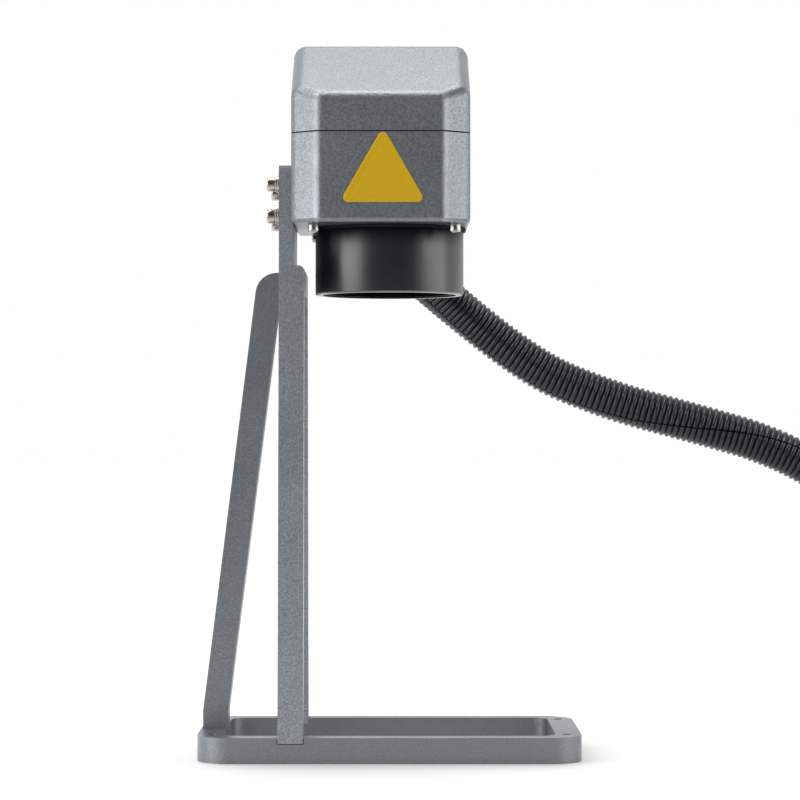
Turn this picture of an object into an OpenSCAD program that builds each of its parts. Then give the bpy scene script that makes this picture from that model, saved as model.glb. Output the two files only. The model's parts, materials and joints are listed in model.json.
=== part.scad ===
// Laser marking machine: a scan head with a wide field lens, held over the work on an open
// stand of milled plates, with a corrugated hose for its leads.
// The origin is on the lens axis at the underside of the base ring. The front faces -Y,
// the upright stands on the -X side and +Z is up. All sizes are in millimetres.

/* [Base ring] */
// Length of the base ring, end to end
base_l = 228; // [216:1:250]
// Depth of the base ring, front to back
base_w = 125; // [116:1:140]
// Thickness of the base ring
base_t = 15.3; // [13:0.1:20]
// Outer corner radius
base_corner_r = 20; // [12:1:24]
// Width of the front and rear rails
base_rail = 12; // [10:0.5:16]
// Width of the end rails
base_end_rail = 15.5; // [14:0.5:20]
// Corner radius of the window
base_window_r = 9; // [4:1:14]
// Diameter of the four fixing holes
base_hole_d = 5.5; // [4.5:0.1:6.5]
// Fixing hole centre to the end of the ring
base_hole_end = 9; // [7:0.5:10]
// Fixing hole centre to the front or rear face
base_hole_side = 20; // [18:0.5:24]
// Depth of the notches that seat the legs and the brace
notch_depth = 3.5; // [2:0.5:5]

/* [Upright frame] */
// Height of the cross bar's top above the underside of the base
bar_top = 293.6; // [288:0.1:300]
// Height of the cross bar
bar_h = 16.6; // [12:0.1:20]
// Thickness of the legs and the cross bar, across the machine
leg_t = 15; // [13:0.1:18]
// Width of each leg, front to back
leg_w = 12; // [10:0.5:16]
// Width of the frame at its top
top_w = 80; // [76:1:92]
// Rounding of the cross bar's upper edge
bar_edge_r = 3; // [1:0.5:5]
// Thickness of the head plate
plate_t = 8.3; // [6:0.1:10]
// Height of the head plate above the cross bar
plate_h = 59.4; // [58:0.2:64]
// Corner radius inside the frame
frame_inner_r = 5; // [2:0.5:8]

/* [Brace] */
// Thickness of the brace
brace_t = 15.2; // [12:0.1:16]
// Width of the brace, front to back
brace_w = 20; // [18:1:26]
// Distance from the end of the ring to the brace
brace_inset = 1.2; // [1:0.1:4]
// Height of the vertical foot above the underside of the base
brace_foot_h = 26; // [22:1:40]
// Height of the seat on the upright, measured down from the top of the brace
brace_seat_h = 12; // [10:1:20]
// Distance from the cross bar's top down to the top of the brace
brace_drop = 2.6; // [0:0.2:4]
// Radius of the rounded top corner
brace_top_r = 13; // [8:1:13]

/* [Stand screws] */
// Thread diameter of the leg screws
leg_screw_d = 5; // [4:1:5]
// Thread diameter of the brace screws
brace_screw_d = 4; // [3:1:4]
// Distance between the two brace screws at each end
brace_screw_gap = 9; // [8.5:0.5:10]
// Length of thread in the piece that a screw holds
screw_grip = 10; // [8:0.5:12]

/* [Head screws and washers] */
// Thread diameter of the bracket screws
bracket_screw_d = 5; // [4:1:5]
// Distance between the two columns of bracket screws, front to back
bracket_span = 65; // [56:1:66]
// Distance between the two rows of bracket screws
bracket_pitch = 19; // [16:0.5:20]
// Height of the lower row above the housing's underside
bracket_row = 5.1; // [4.8:0.1:8]
// Outer diameter of the flat washers
washer_d = 10; // [9.5:0.5:12]
// Thickness of the flat washers
washer_t = 1; // [0.6:0.1:1.6]
// Thickness of the spring washers
spring_washer_t = 1.3; // [0.8:0.1:1.8]
// Outer diameter of the threaded inserts
insert_d = 7; // [6.6:0.1:8]
// Length of the threaded inserts
insert_l = 9; // [7:0.5:9.5]
// Travel of the head down the slots
travel_down = 15; // [6:1:15]
// Travel of the head up the slots
travel_up = 3; // [1:0.5:3]

/* [Head housing] */
// Width of the housing, left to right
head_w = 106.2; // [104:0.2:112]
// How far the housing's front and rear stand back from those of the base ring
head_step = 0.5; // [0:0.1:3]
// Distance of the housing's middle from the lens axis, towards the upright
head_off = 5.2; // [3:0.1:7]
// Height of the housing's underside
head_z = 318.2; // [316:0.2:322]
// Height of the lower shell
lower_h = 52.8; // [50:0.2:58]
// Height of the upper shell
upper_h = 58.2; // [52:0.2:66]
// Height of the upper shell's front wall, up to the slope
front_wall_h = 21.2; // [16:0.2:30]
// Depth of the sloping front of the upper shell
slope_run = 66; // [50:1:80]
// Width of the front corner facets
facet_w = 16.5; // [12:0.5:18]
// Depth of the front corner facets
facet_d = 12; // [8:0.5:14]
// Wall of both shells
shell_wall = 4; // [3:0.2:5]
// Floor of the lower shell
shell_floor = 8; // [7:0.2:10]
// Rounding of the upright front edges
front_edge_r = 8; // [2:0.5:9]
// Rounding of the upper shell's long top edges
top_edge_r = 8; // [5:0.5:10]
// Rounding at both ends of the slope
slope_edge_r = 8; // [1:0.5:9]
// Bevel round the underside
under_bevel = 2; // [0.5:0.1:3]
// Depth of the milled seat for the head plate in the lower shell's side
seat_depth = 0.9; // [0.4:0.1:1.4]
// Thickness of the gasket between the shells
gasket_t = 0.8; // [0.5:0.1:1.5]
// How far the gasket stands back from the outer wall
gasket_back = 0.7; // [0.3:0.1:1.2]
// Distance between the shell screws, left to right
shell_screw_x = 83.8; // [80:0.2:84]
// Distance between the shell screws, front to back
shell_screw_y = 90; // [88:1:94]
// Offset of the shell screws' middle from the lens axis, towards the upright
shell_screw_off = 3.1; // [2.8:0.1:4]
// Thread diameter of the shell screws
shell_screw_d = 4; // [3:1:4]
// Head height of the shell screws
shell_head_h = 5.2; // [3:0.1:6]
// Side length of the blank badge
badge_side = 51; // [36:1:54]
// Corner radius of the badge
badge_corner_r = 3; // [1:0.5:5]
// Thickness of the badge
badge_t = 0.5; // [0.3:0.1:1]
// Height of the badge's lower side above the housing's underside
badge_up = 11.2; // [8:0.1:14]
// Distance of the badge's middle from the housing's middle, away from the upright
badge_off = 1.3; // [0:0.1:3]

/* [Lens] */
// Wall of the lens barrel beside the elements
barrel_wall = 7; // [6:0.5:8]
// Length of the barrel below its mount ring
barrel_l = 38.6; // [34:0.1:48]
// How far the mount ring's flange stands out past the barrel
ring_lip = 1.5; // [1:0.1:3]
// Thickness of the mount ring's flange
ring_t = 2; // [1.5:0.1:3]
// Depth of the ring's seat in the floor
ring_seat = 5; // [3.5:0.5:5.5]
// Wall of the ring's threaded neck
ring_wall = 1.5; // [1.2:0.1:2]
// Wall of the barrel's threaded neck
neck_wall = 3.5; // [3:0.1:4]
// Diameter of the beam opening in the floor
beam_hole_d = 34; // [28:1:38]
// Radial step from the elements' bore out to the mouth
mouth_step = 2; // [1:0.5:3]
// Diameter of the bore that holds the elements
element_d = 76; // [66:0.5:78]
// Wall of the barrel's top above the elements
barrel_roof = 4; // [3:0.5:6]
// Thickness of the protective window
window_t = 3; // [2:0.5:4]
// Depth of the window's retaining ring
window_ring_t = 3; // [2:0.5:4]
// How far the retaining ring stands back from the mouth
window_back = 0.8; // [0.4:0.1:1.5]
// Radial width of the retaining rings
retainer_w = 4; // [2.5:0.5:5]

/* [Scanner] */
// Height of the beam above the housing's underside
beam_up = 26.8; // [26:0.2:28]
// Distance between the two mirrors
mirror_gap = 26; // [25:0.5:28]
// Length of the first mirror along its shaft
x_glass_l = 18; // [16:1:18]
// Width of the first mirror
x_glass_w = 13; // [10:0.5:14]
// Length of the second mirror along its shaft
y_glass_l = 28; // [24:1:28]
// Width of the second mirror
y_glass_w = 18; // [14:0.5:19]
// Thickness of the mirrors
glass_t = 1.6; // [1.2:0.1:2]
// Diameter of the scanner motors
motor_d = 18; // [16:0.5:19]
// Length of the scanner motors
motor_l = 30; // [26:1:31]
// Diameter of the motor shafts
shaft_d = 3; // [2.4:0.1:3.4]
// Outer diameter of the shaft bearings
bearing_d = 8; // [7:0.5:9]
// Width of the shaft bearings
bearing_w = 3; // [2:0.5:4]
// Depth of the scanner block, front to back
block_d = 18; // [14:1:18]
// Wall of the scanner block beside a bore
block_wall = 4; // [3:0.5:4.5]
// Thickness of the block's arm and feet
foot_t = 5; // [4:0.5:6]
// Diameter of the collimator
collimator_d = 16; // [12:0.5:16]
// Length of the collimator
collimator_l = 30; // [24:1:32]
// Diameter of the fibre lead
fibre_d = 3; // [2:0.5:4]

/* [Driver board] */
// Length of the driver board, front to back
board_l = 76; // [66:1:91]
// Height of the driver board
board_h = 62; // [50:1:64]
// Thickness of the driver board
board_t = 1.6; // [1.2:0.1:2]
// Height of the board above the housing's underside
board_up = 14; // [11:0.5:15]
// Length of the standoffs
standoff_l = 11; // [10.8:0.2:13]
// Diameter of the standoffs
standoff_d = 6; // [5:0.5:7]
// Distance from the standoffs to the board's ends
board_hole_edge = 10; // [9.4:0.2:12]
// Distance between the rows of standoffs
standoff_z = 27; // [24:1:30]

/* [Gland] */
// Thread diameter of the gland
gland_thread_d = 25; // [24:0.5:26]
// Width across the flats of the gland's hexagons
gland_flats = 33; // [32:1:35]
// Diameter of the way through the gland
gland_bore_d = 20; // [18:0.5:21]
// Thickness of the gland's flange
gland_flange_t = 6; // [4:0.5:8]
// Length of the gland's clamping nut
gland_nut_l = 15; // [12:0.5:15]
// Thickness of the sealing washer
gland_seal_t = 1.5; // [1:0.1:2]
// Thickness of the lock nut inside the wall
locknut_t = 5; // [4:0.5:6]

/* [Hose] */
// Outer diameter of the corrugated hose
hose_d = 28.5; // [28:0.1:28.6]
// Bore of the hose
hose_bore = 22; // [20:0.5:23]
// Depth of the corrugations
rib_depth = 1.7; // [1:0.1:2]
// Length of the end fitting
fitting_l = 40; // [32:1:42]

/* [Fits] */
// Gap between the head plate and the housing
slide_gap = 0.1; // [0.05:0.05:0.2]
// Radial gap of a seated or threaded piece
fit = 0.1; // [0.05:0.05:0.15]
// Radial gap of a turning shaft in its bearing
running_fit = 0.05; // [0.02:0.01:0.08]
// Extra width of the plate's slots over the screws
slot_play = 0.6; // [0.6:0.1:1]

/* [Hidden] */

$fn = 64;
// Overlap of a cutting shape past the face it cuts
cut = 1;
// Segments of a rounded corner in an outline
arc_steps = 6;

// Levels, from the ground up
notch_z = base_t - notch_depth;
bar_z = bar_top - bar_h;
plate_top = bar_top + plate_h;
seam_z = head_z + lower_h;
upper_z = seam_z + gasket_t;
head_top = upper_z + upper_h;
floor_z = head_z + shell_floor;
ring_z = head_z - ring_t;
barrel_z = ring_z - barrel_l;
beam_z = head_z + beam_up;

// Faces across the machine and front to back
head_d = base_w - 2 * head_step;
head_x0 = -head_off - head_w / 2;
head_x1 = head_x0 + head_w;
head_y0 = -head_d / 2;
head_y1 = head_d / 2;
seat_x = head_x0 + seat_depth;
up_x0 = seat_x - slide_gap - plate_t;
up_x1 = up_x0 + leg_t;

// Brace
brace_x0 = -base_l / 2 + brace_inset;
brace_x1 = brace_x0 + brace_t;
brace_top = bar_top - brace_drop;
brace_seat_z = brace_top - brace_seat_h;
brace_lean = atan((up_x0 - brace_x1) / (brace_seat_z - brace_foot_h));
brace_across = brace_t / cos(brace_lean);

// Screw heads: a socket head is 1.7 thread diameters wide and one high
function head_wide(d) = 1.7 * d;
function head_high(d) = d;
socket_share = 0.8;

bracket_z = [head_z + bracket_row, head_z + bracket_row + bracket_pitch];
bracket_y = [-bracket_span / 2, bracket_span / 2];
slot_w = bracket_screw_d + slot_play;
slot_z0 = bracket_z[0] - travel_down;
slot_z1 = bracket_z[1] + travel_up;
shell_screw_xs = [-shell_screw_off - shell_screw_x / 2, -shell_screw_off + shell_screw_x / 2];
shell_screw_ys = [-shell_screw_y / 2, shell_screw_y / 2];
column_r = shell_screw_d + 1.5;
shell_screw_grip = 10;
// Room between the head plate's edges and the sides of its seat
side_clear = 0.3;

// Scanner
mirror_pos = [-mirror_gap, 0, beam_z];
holder_l = 5.5;
holder_clear = 2.5;
holder_r = 3.5;
glass_grip = 2;
x_face = x_glass_l / 2 - glass_grip + holder_l + holder_clear;
y_face = y_glass_l / 2 - glass_grip + holder_l + holder_clear;
motor_wall = bearing_w + 1;
rotor_r = 4;
block_x0 = -mirror_gap - max(collimator_d, motor_d) / 2 - block_wall;
block_x1 = motor_d / 2 + block_wall;
foot_l = 8;
block_screw_d = 3;
// Room between the tips of the block's screws and the barrel's neck
tip_clear = 0.4;

// Driver board
board_x1 = head_x1 - shell_wall - standoff_l;
board_x0 = board_x1 - board_t;
board_z = head_z + board_up;
standoff_zs = [board_z + standoff_d, board_z + standoff_d + standoff_z];
standoff_ys = [-board_l / 2 + board_hole_edge, board_l / 2 - board_hole_edge];
board_screw_d = 3;
// Parts on the board: their distances from its front end and, for the plug, its rear end and foot
parts_edge = 16;
chip_edge = 14;
chip_up = 11;
capacitor_up = 24;
plug_edge = 22;
plug_up = 41;
plug_size = [6, 14, 10];
plug_pos = [board_x0 - plug_size.x, board_l / 2 - plug_edge, board_z + plug_up];

// Gland, along +Y from the rear wall
gland_x = -mirror_gap;
gland_seat_y = head_y1 + gland_seal_t;
gland_neck_y = gland_seat_y + gland_flange_t;
gland_end_y = gland_neck_y + 1.5 + gland_nut_l;
gland_neck_r = 14;
lip_t = 4;
nipple_y = head_y1 - shell_wall - locknut_t - 2;

// Lens barrel: its threaded neck, and the element levels in it
barrel_d = element_d + 2 * barrel_wall;
mouth_d = element_d + 2 * mouth_step;
ring_d = barrel_d + 2 * ring_lip;
barrel_neck_d = element_d + 2 * neck_wall;
ring_neck_d = barrel_neck_d + 2 * fit + 2 * ring_wall;
window_ring_z = barrel_z + window_back;
window_z = window_ring_z + window_ring_t;
shoulder_z = window_z + window_t;
retainer_t = 2;
front_lens_z = shoulder_z + retainer_t;
front_lens_t = 7;
middle_lens_t = 5;
rear_lens_t = 6;
neck_top = head_z + ring_seat;
elements_top = neck_top - barrel_roof;
rear_lens_z = elements_top - rear_lens_t;
spacer_l = (rear_lens_z - front_lens_z - front_lens_t - middle_lens_t) / 2;
middle_lens_z = front_lens_z + front_lens_t + spacer_l;

// Route of the hose from the gland to the coil
hose_route = [
    [-26, 86.2, 345], [-26, 100, 345], [-26, 115, 345], [-22.5, 145.5, 340.5],
    [-13.5, 173.5, 332.5], [0, 198, 320], [17.5, 217, 305], [39, 230, 287], [62, 237, 268.5],
    [86.5, 239, 250], [112, 240, 234], [140, 240, 222], [168, 240, 212.5],
    [197, 240, 204.5], [226, 240, 196.5],
    [254, 240, 188], [281, 240, 176.5], [307, 240, 161.5], [331, 240, 143], [353, 240, 121.5],
    [374, 240, 99], [396, 240, 76.5], [420, 240, 55.5], [447, 240, 37], [477, 240, 23],
    [506, 240, 15.5], [535, 240, 14.5]
];
// Route of the signal lead inside the housing
lead_route = [
    [-20, 79, 341], [-20, 66, 341], [-20, 56, 341], [-20, 49, 342.5], [-18, 45.5, 348.5],
    [-12, 44, 356], [-3, 42.5, 363], [4, 36, 370.5], [8, 28.5, 376], [13, 24, 378],
    [18, 23, 378.2], [21.5, 23, 378.2], [25.1, 23, 378.2]
];
lead_d = 5;

// Unit vector, and a point a share of the way from a to b
function unit(v) = v / norm(v);
function between(a, b, share) = a + (b - a) * share;

// Points of the arc that rounds corner b of an outline between a and c
function corner_arc(a, b, c, r) =
    r <= 0 ? [b] :
    let(
        u = unit(a - b),
        v = unit(c - b),
        half = acos(u * v) / 2,
        middle = b + unit(u + v) * r / sin(half),
        first = b + u * r / tan(half) - middle,
        last = b + v * r / tan(half) - middle,
        start = atan2(first.y, first.x),
        sweep = (atan2(last.y, last.x) - start + 540) % 360 - 180
    )
    [for (i = [0:arc_steps]) let(t = start + sweep * i / arc_steps) middle + r * [cos(t), sin(t)]];

// Outline with each corner rounded by its own radius
function rounded(points, radii) = [
    for (i = [0:len(points) - 1])
        each corner_arc(
            points[(i + len(points) - 1) % len(points)], points[i],
            points[(i + 1) % len(points)], radii[i]
        )
];

// Point of a smooth curve through four points, a share t of the way from the second to the third
function through(a, b, c, d, t) =
    0.5 * (2 * b + (c - a) * t + (2 * a - 5 * b + 4 * c - d) * t * t
        + (3 * b - a - 3 * c + d) * t * t * t);

// Smooth curve through a route, as steps points for each of its stretches
function smooth_route(route, steps) =
    let(
        last = len(route) - 1,
        all = [2 * route[0] - route[1], each route, 2 * route[last] - route[last - 1]]
    )
    [for (i = [0:last - 1], k = [0:steps - 1])
        through(all[i], all[i + 1], all[i + 2], all[i + 3], k / steps), route[last]];

// Running length at each point of a line
function run_lengths(line) = [
    for (i = 0, s = 0; i < len(line); s = s + (i < len(line) - 1 ? norm(line[i + 1] - line[i]) : 0),
        i = i + 1) s
];

// Direction of a line at its point i
function heading(line, i) =
    unit(line[min(i + 1, len(line) - 1)] - line[max(i - 1, 0)]);

// Ring of a tube round a point: sides points at radius r, square to the heading
function ring(point, along, r, sides) =
    let(
        side = unit(cross(along, [0, 0, 1])),
        up = cross(side, along)
    )
    [for (k = [0:sides - 1]) let(t = 90 + 360 * k / sides) point + r * (cos(t) * side + sin(t) * up)];

// Triangles between successive rings, facing outwards or, for a bore, inwards
function skin_faces(rings, sides, offset, outward) = [
    for (i = [0:rings - 2], k = [0:sides - 1])
        let(
            a = offset + i * sides + k,
            b = offset + i * sides + (k + 1) % sides,
            c = a + sides,
            d = b + sides
        )
        each outward ? [[a, b, d], [a, d, c]] : [[a, d, b], [a, c, d]]
];

// Solid tube along a line, with one radius for each of its points
module solid_tube(line, radii, sides) {
    points = [for (i = [0:len(line) - 1]) each ring(line[i], heading(line, i), radii[i], sides)];
    last = (len(line) - 1) * sides;
    polyhedron(points, [
        each skin_faces(len(line), sides, 0, true),
        for (k = [1:sides - 2]) [0, k + 1, k],
        for (k = [1:sides - 2]) [last, last + k, last + k + 1]
    ]);
}

// Tube with a bore: an outer line with its radii, and a coarser inner line between the same ends
module bored_tube(line, radii, inner_line, inner_r, sides) {
    outer = [for (i = [0:len(line) - 1]) each ring(line[i], heading(line, i), radii[i], sides)];
    inner = [
        for (i = [0:len(inner_line) - 1])
            each ring(inner_line[i], heading(inner_line, i), inner_r, sides)
    ];
    first_in = len(outer);
    last_out = len(outer) - sides;
    last_in = len(outer) + len(inner) - sides;
    polyhedron([each outer, each inner], [
        each skin_faces(len(line), sides, 0, true),
        each skin_faces(len(inner_line), sides, first_in, false),
        for (k = [0:sides - 1]) let(n = (k + 1) % sides) each [
            [k, first_in + k, first_in + n],
            [k, first_in + n, n],
            [last_out + k, last_in + n, last_in + k],
            [last_out + k, last_out + n, last_in + n]
        ]
    ]);
}

// Rectangle with round corners, from true arcs
module rounded_rectangle(l, w, r) {
    square([l - 2 * r, w], center = true);
    square([l, w - 2 * r], center = true);
    for (x = [-1, 1], y = [-1, 1])
        translate([x * (l / 2 - r), y * (w / 2 - r)]) circle(r);
}

// Turns a shape that stands along +Z to lie along +X, or along +Y
module along_x() { rotate([0, 90, 0]) children(); }
module along_y() { rotate([-90, 0, 0]) children(); }

// Outline drawn in Y and Z, extruded along +X
module side_extrude(length) { rotate([90, 0, 90]) linear_extrude(length) children(); }

// Socket head screw along +Z: the head's top is at -head_h and the thread ends at length
module socket_screw(d, length, head_d, head_h) {
    difference() {
        union() {
            translate([0, 0, -head_h]) cylinder(d = head_d, h = head_h);
            cylinder(d = d, h = length);
        }
        translate([0, 0, -head_h - cut])
            cylinder(d = d * socket_share / cos(30), h = head_h / 2 + cut, $fn = 6);
    }
}

// Ring along +Z
module ring_solid(outer_d, inner_d, h) {
    difference() {
        cylinder(d = outer_d, h = h);
        translate([0, 0, -cut]) cylinder(d = inner_d, h = h + 2 * cut);
    }
}

// Hexagon along +Z with turned corners
module turned_hexagon(flats, h) {
    corner = flats / cos(30);
    bevel = (corner - flats) / 2;
    intersection() {
        cylinder(d = corner, h = h, $fn = 6);
        rotate_extrude() polygon([
            [0, 0], [flats / 2, 0], [corner / 2, bevel / 2],
            [corner / 2, h - bevel / 2], [flats / 2, h], [0, h]
        ]);
    }
}

// Outline of the housing, each wall moved inwards by d
function head_outline(d) =
    let(
        k = 1 + d * sqrt(1 / pow(facet_w, 2) + 1 / pow(facet_d, 2)),
        fx = facet_w * (k - d / facet_d),
        fy = facet_d * (k - d / facet_w),
        r = max(front_edge_r - d, 0.5)
    )
    rounded([
        [head_x0 + d, head_y0 + fy], [head_x0 + fx, head_y0 + d],
        [head_x1 - fx, head_y0 + d], [head_x1 - d, head_y0 + fy],
        [head_x1 - d, head_y1 - d], [head_x0 + d, head_y1 - d]
    ], [r, r, r, r, r, r]);

// Envelope of the upper shell, each wall moved inwards by d, from z0 up
module upper_envelope(d, z0) {
    slope = atan((upper_h - front_wall_h) / slope_run);
    slope_z = upper_z + front_wall_h + d * tan(slope) - d / cos(slope);
    slope_y = head_y0 + d + (head_top - d - slope_z) / tan(slope);
    edge = max(top_edge_r - d, 0.5);
    turn = max(slope_edge_r - d, 0.5);
    intersection() {
        translate([0, 0, z0]) linear_extrude(head_top - z0) polygon(head_outline(d));
        translate([head_x0, 0, 0]) side_extrude(head_w) polygon(rounded([
            [head_y0 + d, z0 - cut], [head_y1 - d, z0 - cut], [head_y1 - d, head_top - d],
            [slope_y, head_top - d], [head_y0 + d, slope_z]
        ], [0, 0, edge, turn, turn]));
        translate([0, head_y1, 0]) rotate([90, 0, 0]) linear_extrude(head_d) polygon(rounded([
            [head_x0 + d, z0 - cut], [head_x1 - d, z0 - cut],
            [head_x1 - d, head_top - d], [head_x0 + d, head_top - d]
        ], [0, 0, edge, edge]));
    }
}

// Three-sided cuts along the lower edges of the housing
module under_bevels() {
    corners = [
        [head_x0, head_y0 + facet_d], [head_x0 + facet_w, head_y0],
        [head_x1 - facet_w, head_y0], [head_x1, head_y0 + facet_d],
        [head_x1, head_y1], [head_x0, head_y1]
    ];
    for (i = [0:len(corners) - 1]) {
        a = corners[i];
        b = corners[(i + 1) % len(corners)];
        translate([a.x, a.y, head_z]) rotate([0, 0, atan2(b.y - a.y, b.x - a.x)])
            side_extrude(norm(b - a))
                polygon([[-cut, -cut], [under_bevel, -cut], [under_bevel, 0], [0, under_bevel],
                    [-cut, under_bevel]]);
    }
}

module at_shell_screws() {
    for (x = shell_screw_xs, y = shell_screw_ys) translate([x, y, 0]) children();
}

module at_bracket_screws() {
    for (y = bracket_y, z = bracket_z) translate([0, y, z]) along_x() children();
}

module at_gland(y) { translate([gland_x, y, beam_z]) along_y() children(); }

module base_ring() {
    color("slategray") difference() {
        linear_extrude(base_t) difference() {
            rounded_rectangle(base_l, base_w, base_corner_r);
            rounded_rectangle(base_l - 2 * base_end_rail, base_w - 2 * base_rail, base_window_r);
        }
        for (x = [-1, 1], y = [-1, 1])
            translate([x * (base_l / 2 - base_hole_end), y * (base_w / 2 - base_hole_side), -cut])
                cylinder(d = base_hole_d, h = base_t + 2 * cut);
        translate([up_x0 - fit, -base_w / 2 - cut, notch_z])
            cube([leg_t + 2 * fit, base_w + 2 * cut, notch_depth + cut]);
        translate([brace_x0 - fit, -brace_w / 2 - fit, notch_z])
            cube([brace_t + base_end_rail, brace_w + 2 * fit, notch_depth + cut]);
        for (p = leg_screw_places) screw_way(p, leg_screw_d);
        for (p = brace_foot_places) screw_way(p, brace_screw_d);
    }
}

// Places of the screws that come up through the base ring
leg_screw_places = [
    for (y = [-1, 1]) [(up_x0 + up_x1) / 2, y * (base_w / 2 - max(leg_w, base_rail) / 2)]
];
brace_foot_places = [
    for (y = [-1, 1]) [
        (brace_x0 + min(brace_x1, -base_l / 2 + base_end_rail)) / 2, y * brace_screw_gap / 2
    ]
];

// Way for a screw and its sunk head, up from the underside of the base ring
module screw_way(place, d) {
    translate([place.x, place.y, -cut]) cylinder(d = d + 2 * fit, h = base_t + 2 * cut);
    translate([place.x, place.y, -cut])
        cylinder(d = head_wide(d) + 2 * fit, h = head_high(d) + fit + cut);
}

module base_screws(places, d) {
    for (p = places)
        translate([p.x, p.y, head_high(d) + fit])
            socket_screw(d, notch_z - head_high(d) - fit + screw_grip - 1,
                head_wide(d), head_high(d));
}

module leg_screws() { color("silver") base_screws(leg_screw_places, leg_screw_d); }

module brace_foot_screws() { color("silver") base_screws(brace_foot_places, brace_screw_d); }

// Half width of the upright frame at a height
function frame_half(z) =
    between(base_w / 2, top_w / 2, (z - notch_z) / (bar_top - notch_z));

module upright_frame() {
    outline = [
        [-frame_half(notch_z), notch_z], [-frame_half(notch_z) + leg_w, notch_z],
        [-frame_half(bar_z) + leg_w, bar_z], [frame_half(bar_z) - leg_w, bar_z],
        [frame_half(notch_z) - leg_w, notch_z], [frame_half(notch_z), notch_z],
        [top_w / 2, bar_top], [-top_w / 2, bar_top]
    ];
    color("slategray") difference() {
        union() {
            translate([up_x0, 0, 0]) side_extrude(leg_t)
                polygon(rounded(outline, [0, 0, frame_inner_r, frame_inner_r, 0, 0, 0, 0]));
            translate([up_x0, -top_w / 2, bar_z])
                cube([plate_t, top_w, plate_top - bar_z]);
        }
        translate([up_x1 - bar_edge_r, 0, bar_top - bar_edge_r]) difference() {
            translate([0, -top_w, 0]) cube([bar_edge_r + cut, 2 * top_w, bar_edge_r + cut]);
            translate([0, -top_w - cut, 0]) along_y()
                cylinder(r = bar_edge_r, h = 2 * top_w + 2 * cut);
        }
        for (y = bracket_y) translate([up_x0 - cut, y, 0]) {
            for (z = [slot_z0, slot_z1])
                translate([0, 0, z]) along_x() cylinder(d = slot_w, h = plate_t + 2 * cut);
            translate([0, -slot_w / 2, slot_z0])
                cube([plate_t + 2 * cut, slot_w, slot_z1 - slot_z0]);
        }
        for (p = leg_screw_places)
            translate([p.x, p.y, notch_z - cut])
                cylinder(d = leg_screw_d + 2 * fit, h = screw_grip + cut);
        for (y = [-1, 1])
            translate([up_x0 - cut, y * brace_screw_gap / 2, brace_screw_z]) along_x()
                cylinder(d = brace_screw_d + 2 * fit, h = screw_grip + cut);
    }
}

// Screws at the top of the brace: their height, and the depth of brace left under the heads
brace_screw_z = brace_top - brace_seat_h / 2;
brace_under_head = 7;

module brace() {
    outline = rounded([
        [brace_x0, notch_z], [brace_x1, notch_z], [brace_x1, brace_foot_h],
        [up_x0, brace_seat_z], [up_x0, brace_top],
        [up_x0 - brace_across + (brace_top - brace_seat_z) * tan(brace_lean), brace_top],
        [brace_x0, brace_foot_h]
    ], [0, 0, 0, 0, 0, brace_top_r, 0]);
    color("dimgray") difference() {
        translate([0, brace_w / 2, 0]) rotate([90, 0, 0]) linear_extrude(brace_w)
            polygon(outline);
        for (y = [-1, 1]) translate([up_x0, y * brace_screw_gap / 2, brace_screw_z]) {
            translate([-2 * brace_t, 0, 0]) along_x()
                cylinder(d = brace_screw_d + 2 * fit, h = 2 * brace_t + cut);
            translate([-2 * brace_t - brace_under_head, 0, 0]) along_x()
                cylinder(d = head_wide(brace_screw_d) + 2 * fit, h = 2 * brace_t);
        }
        for (p = brace_foot_places)
            translate([p.x, p.y, notch_z - cut])
                cylinder(d = brace_screw_d + 2 * fit, h = screw_grip + cut);
    }
}

module brace_top_screws() {
    color("silver") for (y = [-1, 1])
        translate([up_x0 - brace_under_head, y * brace_screw_gap / 2, brace_screw_z]) along_x()
            socket_screw(brace_screw_d, brace_under_head + screw_grip - 1,
                head_wide(brace_screw_d), head_high(brace_screw_d));
}

module lower_shell() {
    color("lightslategray") difference() {
        union() {
            difference() {
                translate([0, 0, head_z]) linear_extrude(lower_h) polygon(head_outline(0));
                translate([0, 0, floor_z]) linear_extrude(lower_h) polygon(head_outline(shell_wall));
            }
            intersection() {
                translate([0, 0, head_z]) linear_extrude(lower_h) polygon(head_outline(1));
                union() {
                    translate([seat_x, -bracket_span / 2 - insert_d, head_z])
                        cube([insert_l + 1, bracket_span + 2 * insert_d,
                            bracket_z[1] + insert_d - head_z]);
                    at_shell_screws() translate([0, 0, head_z]) cylinder(r = column_r, h = lower_h);
                }
            }
        }
        under_bevels();
        translate([head_x0 - cut, -top_w / 2 - side_clear, head_z - cut])
            cube([seat_depth + cut, top_w + 2 * side_clear, lower_h + 2 * cut]);
        translate([0, 0, head_z - cut]) cylinder(d = ring_neck_d + 2 * fit, h = ring_seat + cut);
        translate([0, 0, head_z - cut]) cylinder(d = beam_hole_d, h = shell_floor + 2 * cut);
        translate([seat_x - cut, 0, 0]) at_bracket_screws()
            cylinder(d = insert_d + 2 * fit, h = insert_l + cut);
        at_shell_screws() translate([0, 0, head_z - cut])
            cylinder(d = shell_screw_d + 2 * fit, h = lower_h + 2 * cut);
        at_gland(head_y1 - shell_wall - cut)
            cylinder(d = gland_thread_d + 2 * fit, h = shell_wall + 2 * cut);
        at_block_screws() translate([0, 0, neck_top - cut])
            cylinder(d = block_screw_d + 2 * fit, h = floor_z - neck_top + 2 * cut);
    }
}

module upper_shell() {
    color("lightslategray") difference() {
        union() {
            difference() {
                upper_envelope(0, upper_z);
                upper_envelope(shell_wall, upper_z - cut);
            }
            intersection() {
                upper_envelope(1, upper_z);
                at_shell_screws() translate([0, 0, upper_z]) cylinder(r = column_r, h = upper_h);
            }
        }
        at_shell_screws() translate([0, 0, upper_z - cut])
            cylinder(d = shell_screw_d + 2 * fit, h = shell_screw_grip + 2 * cut);
    }
}

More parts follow.
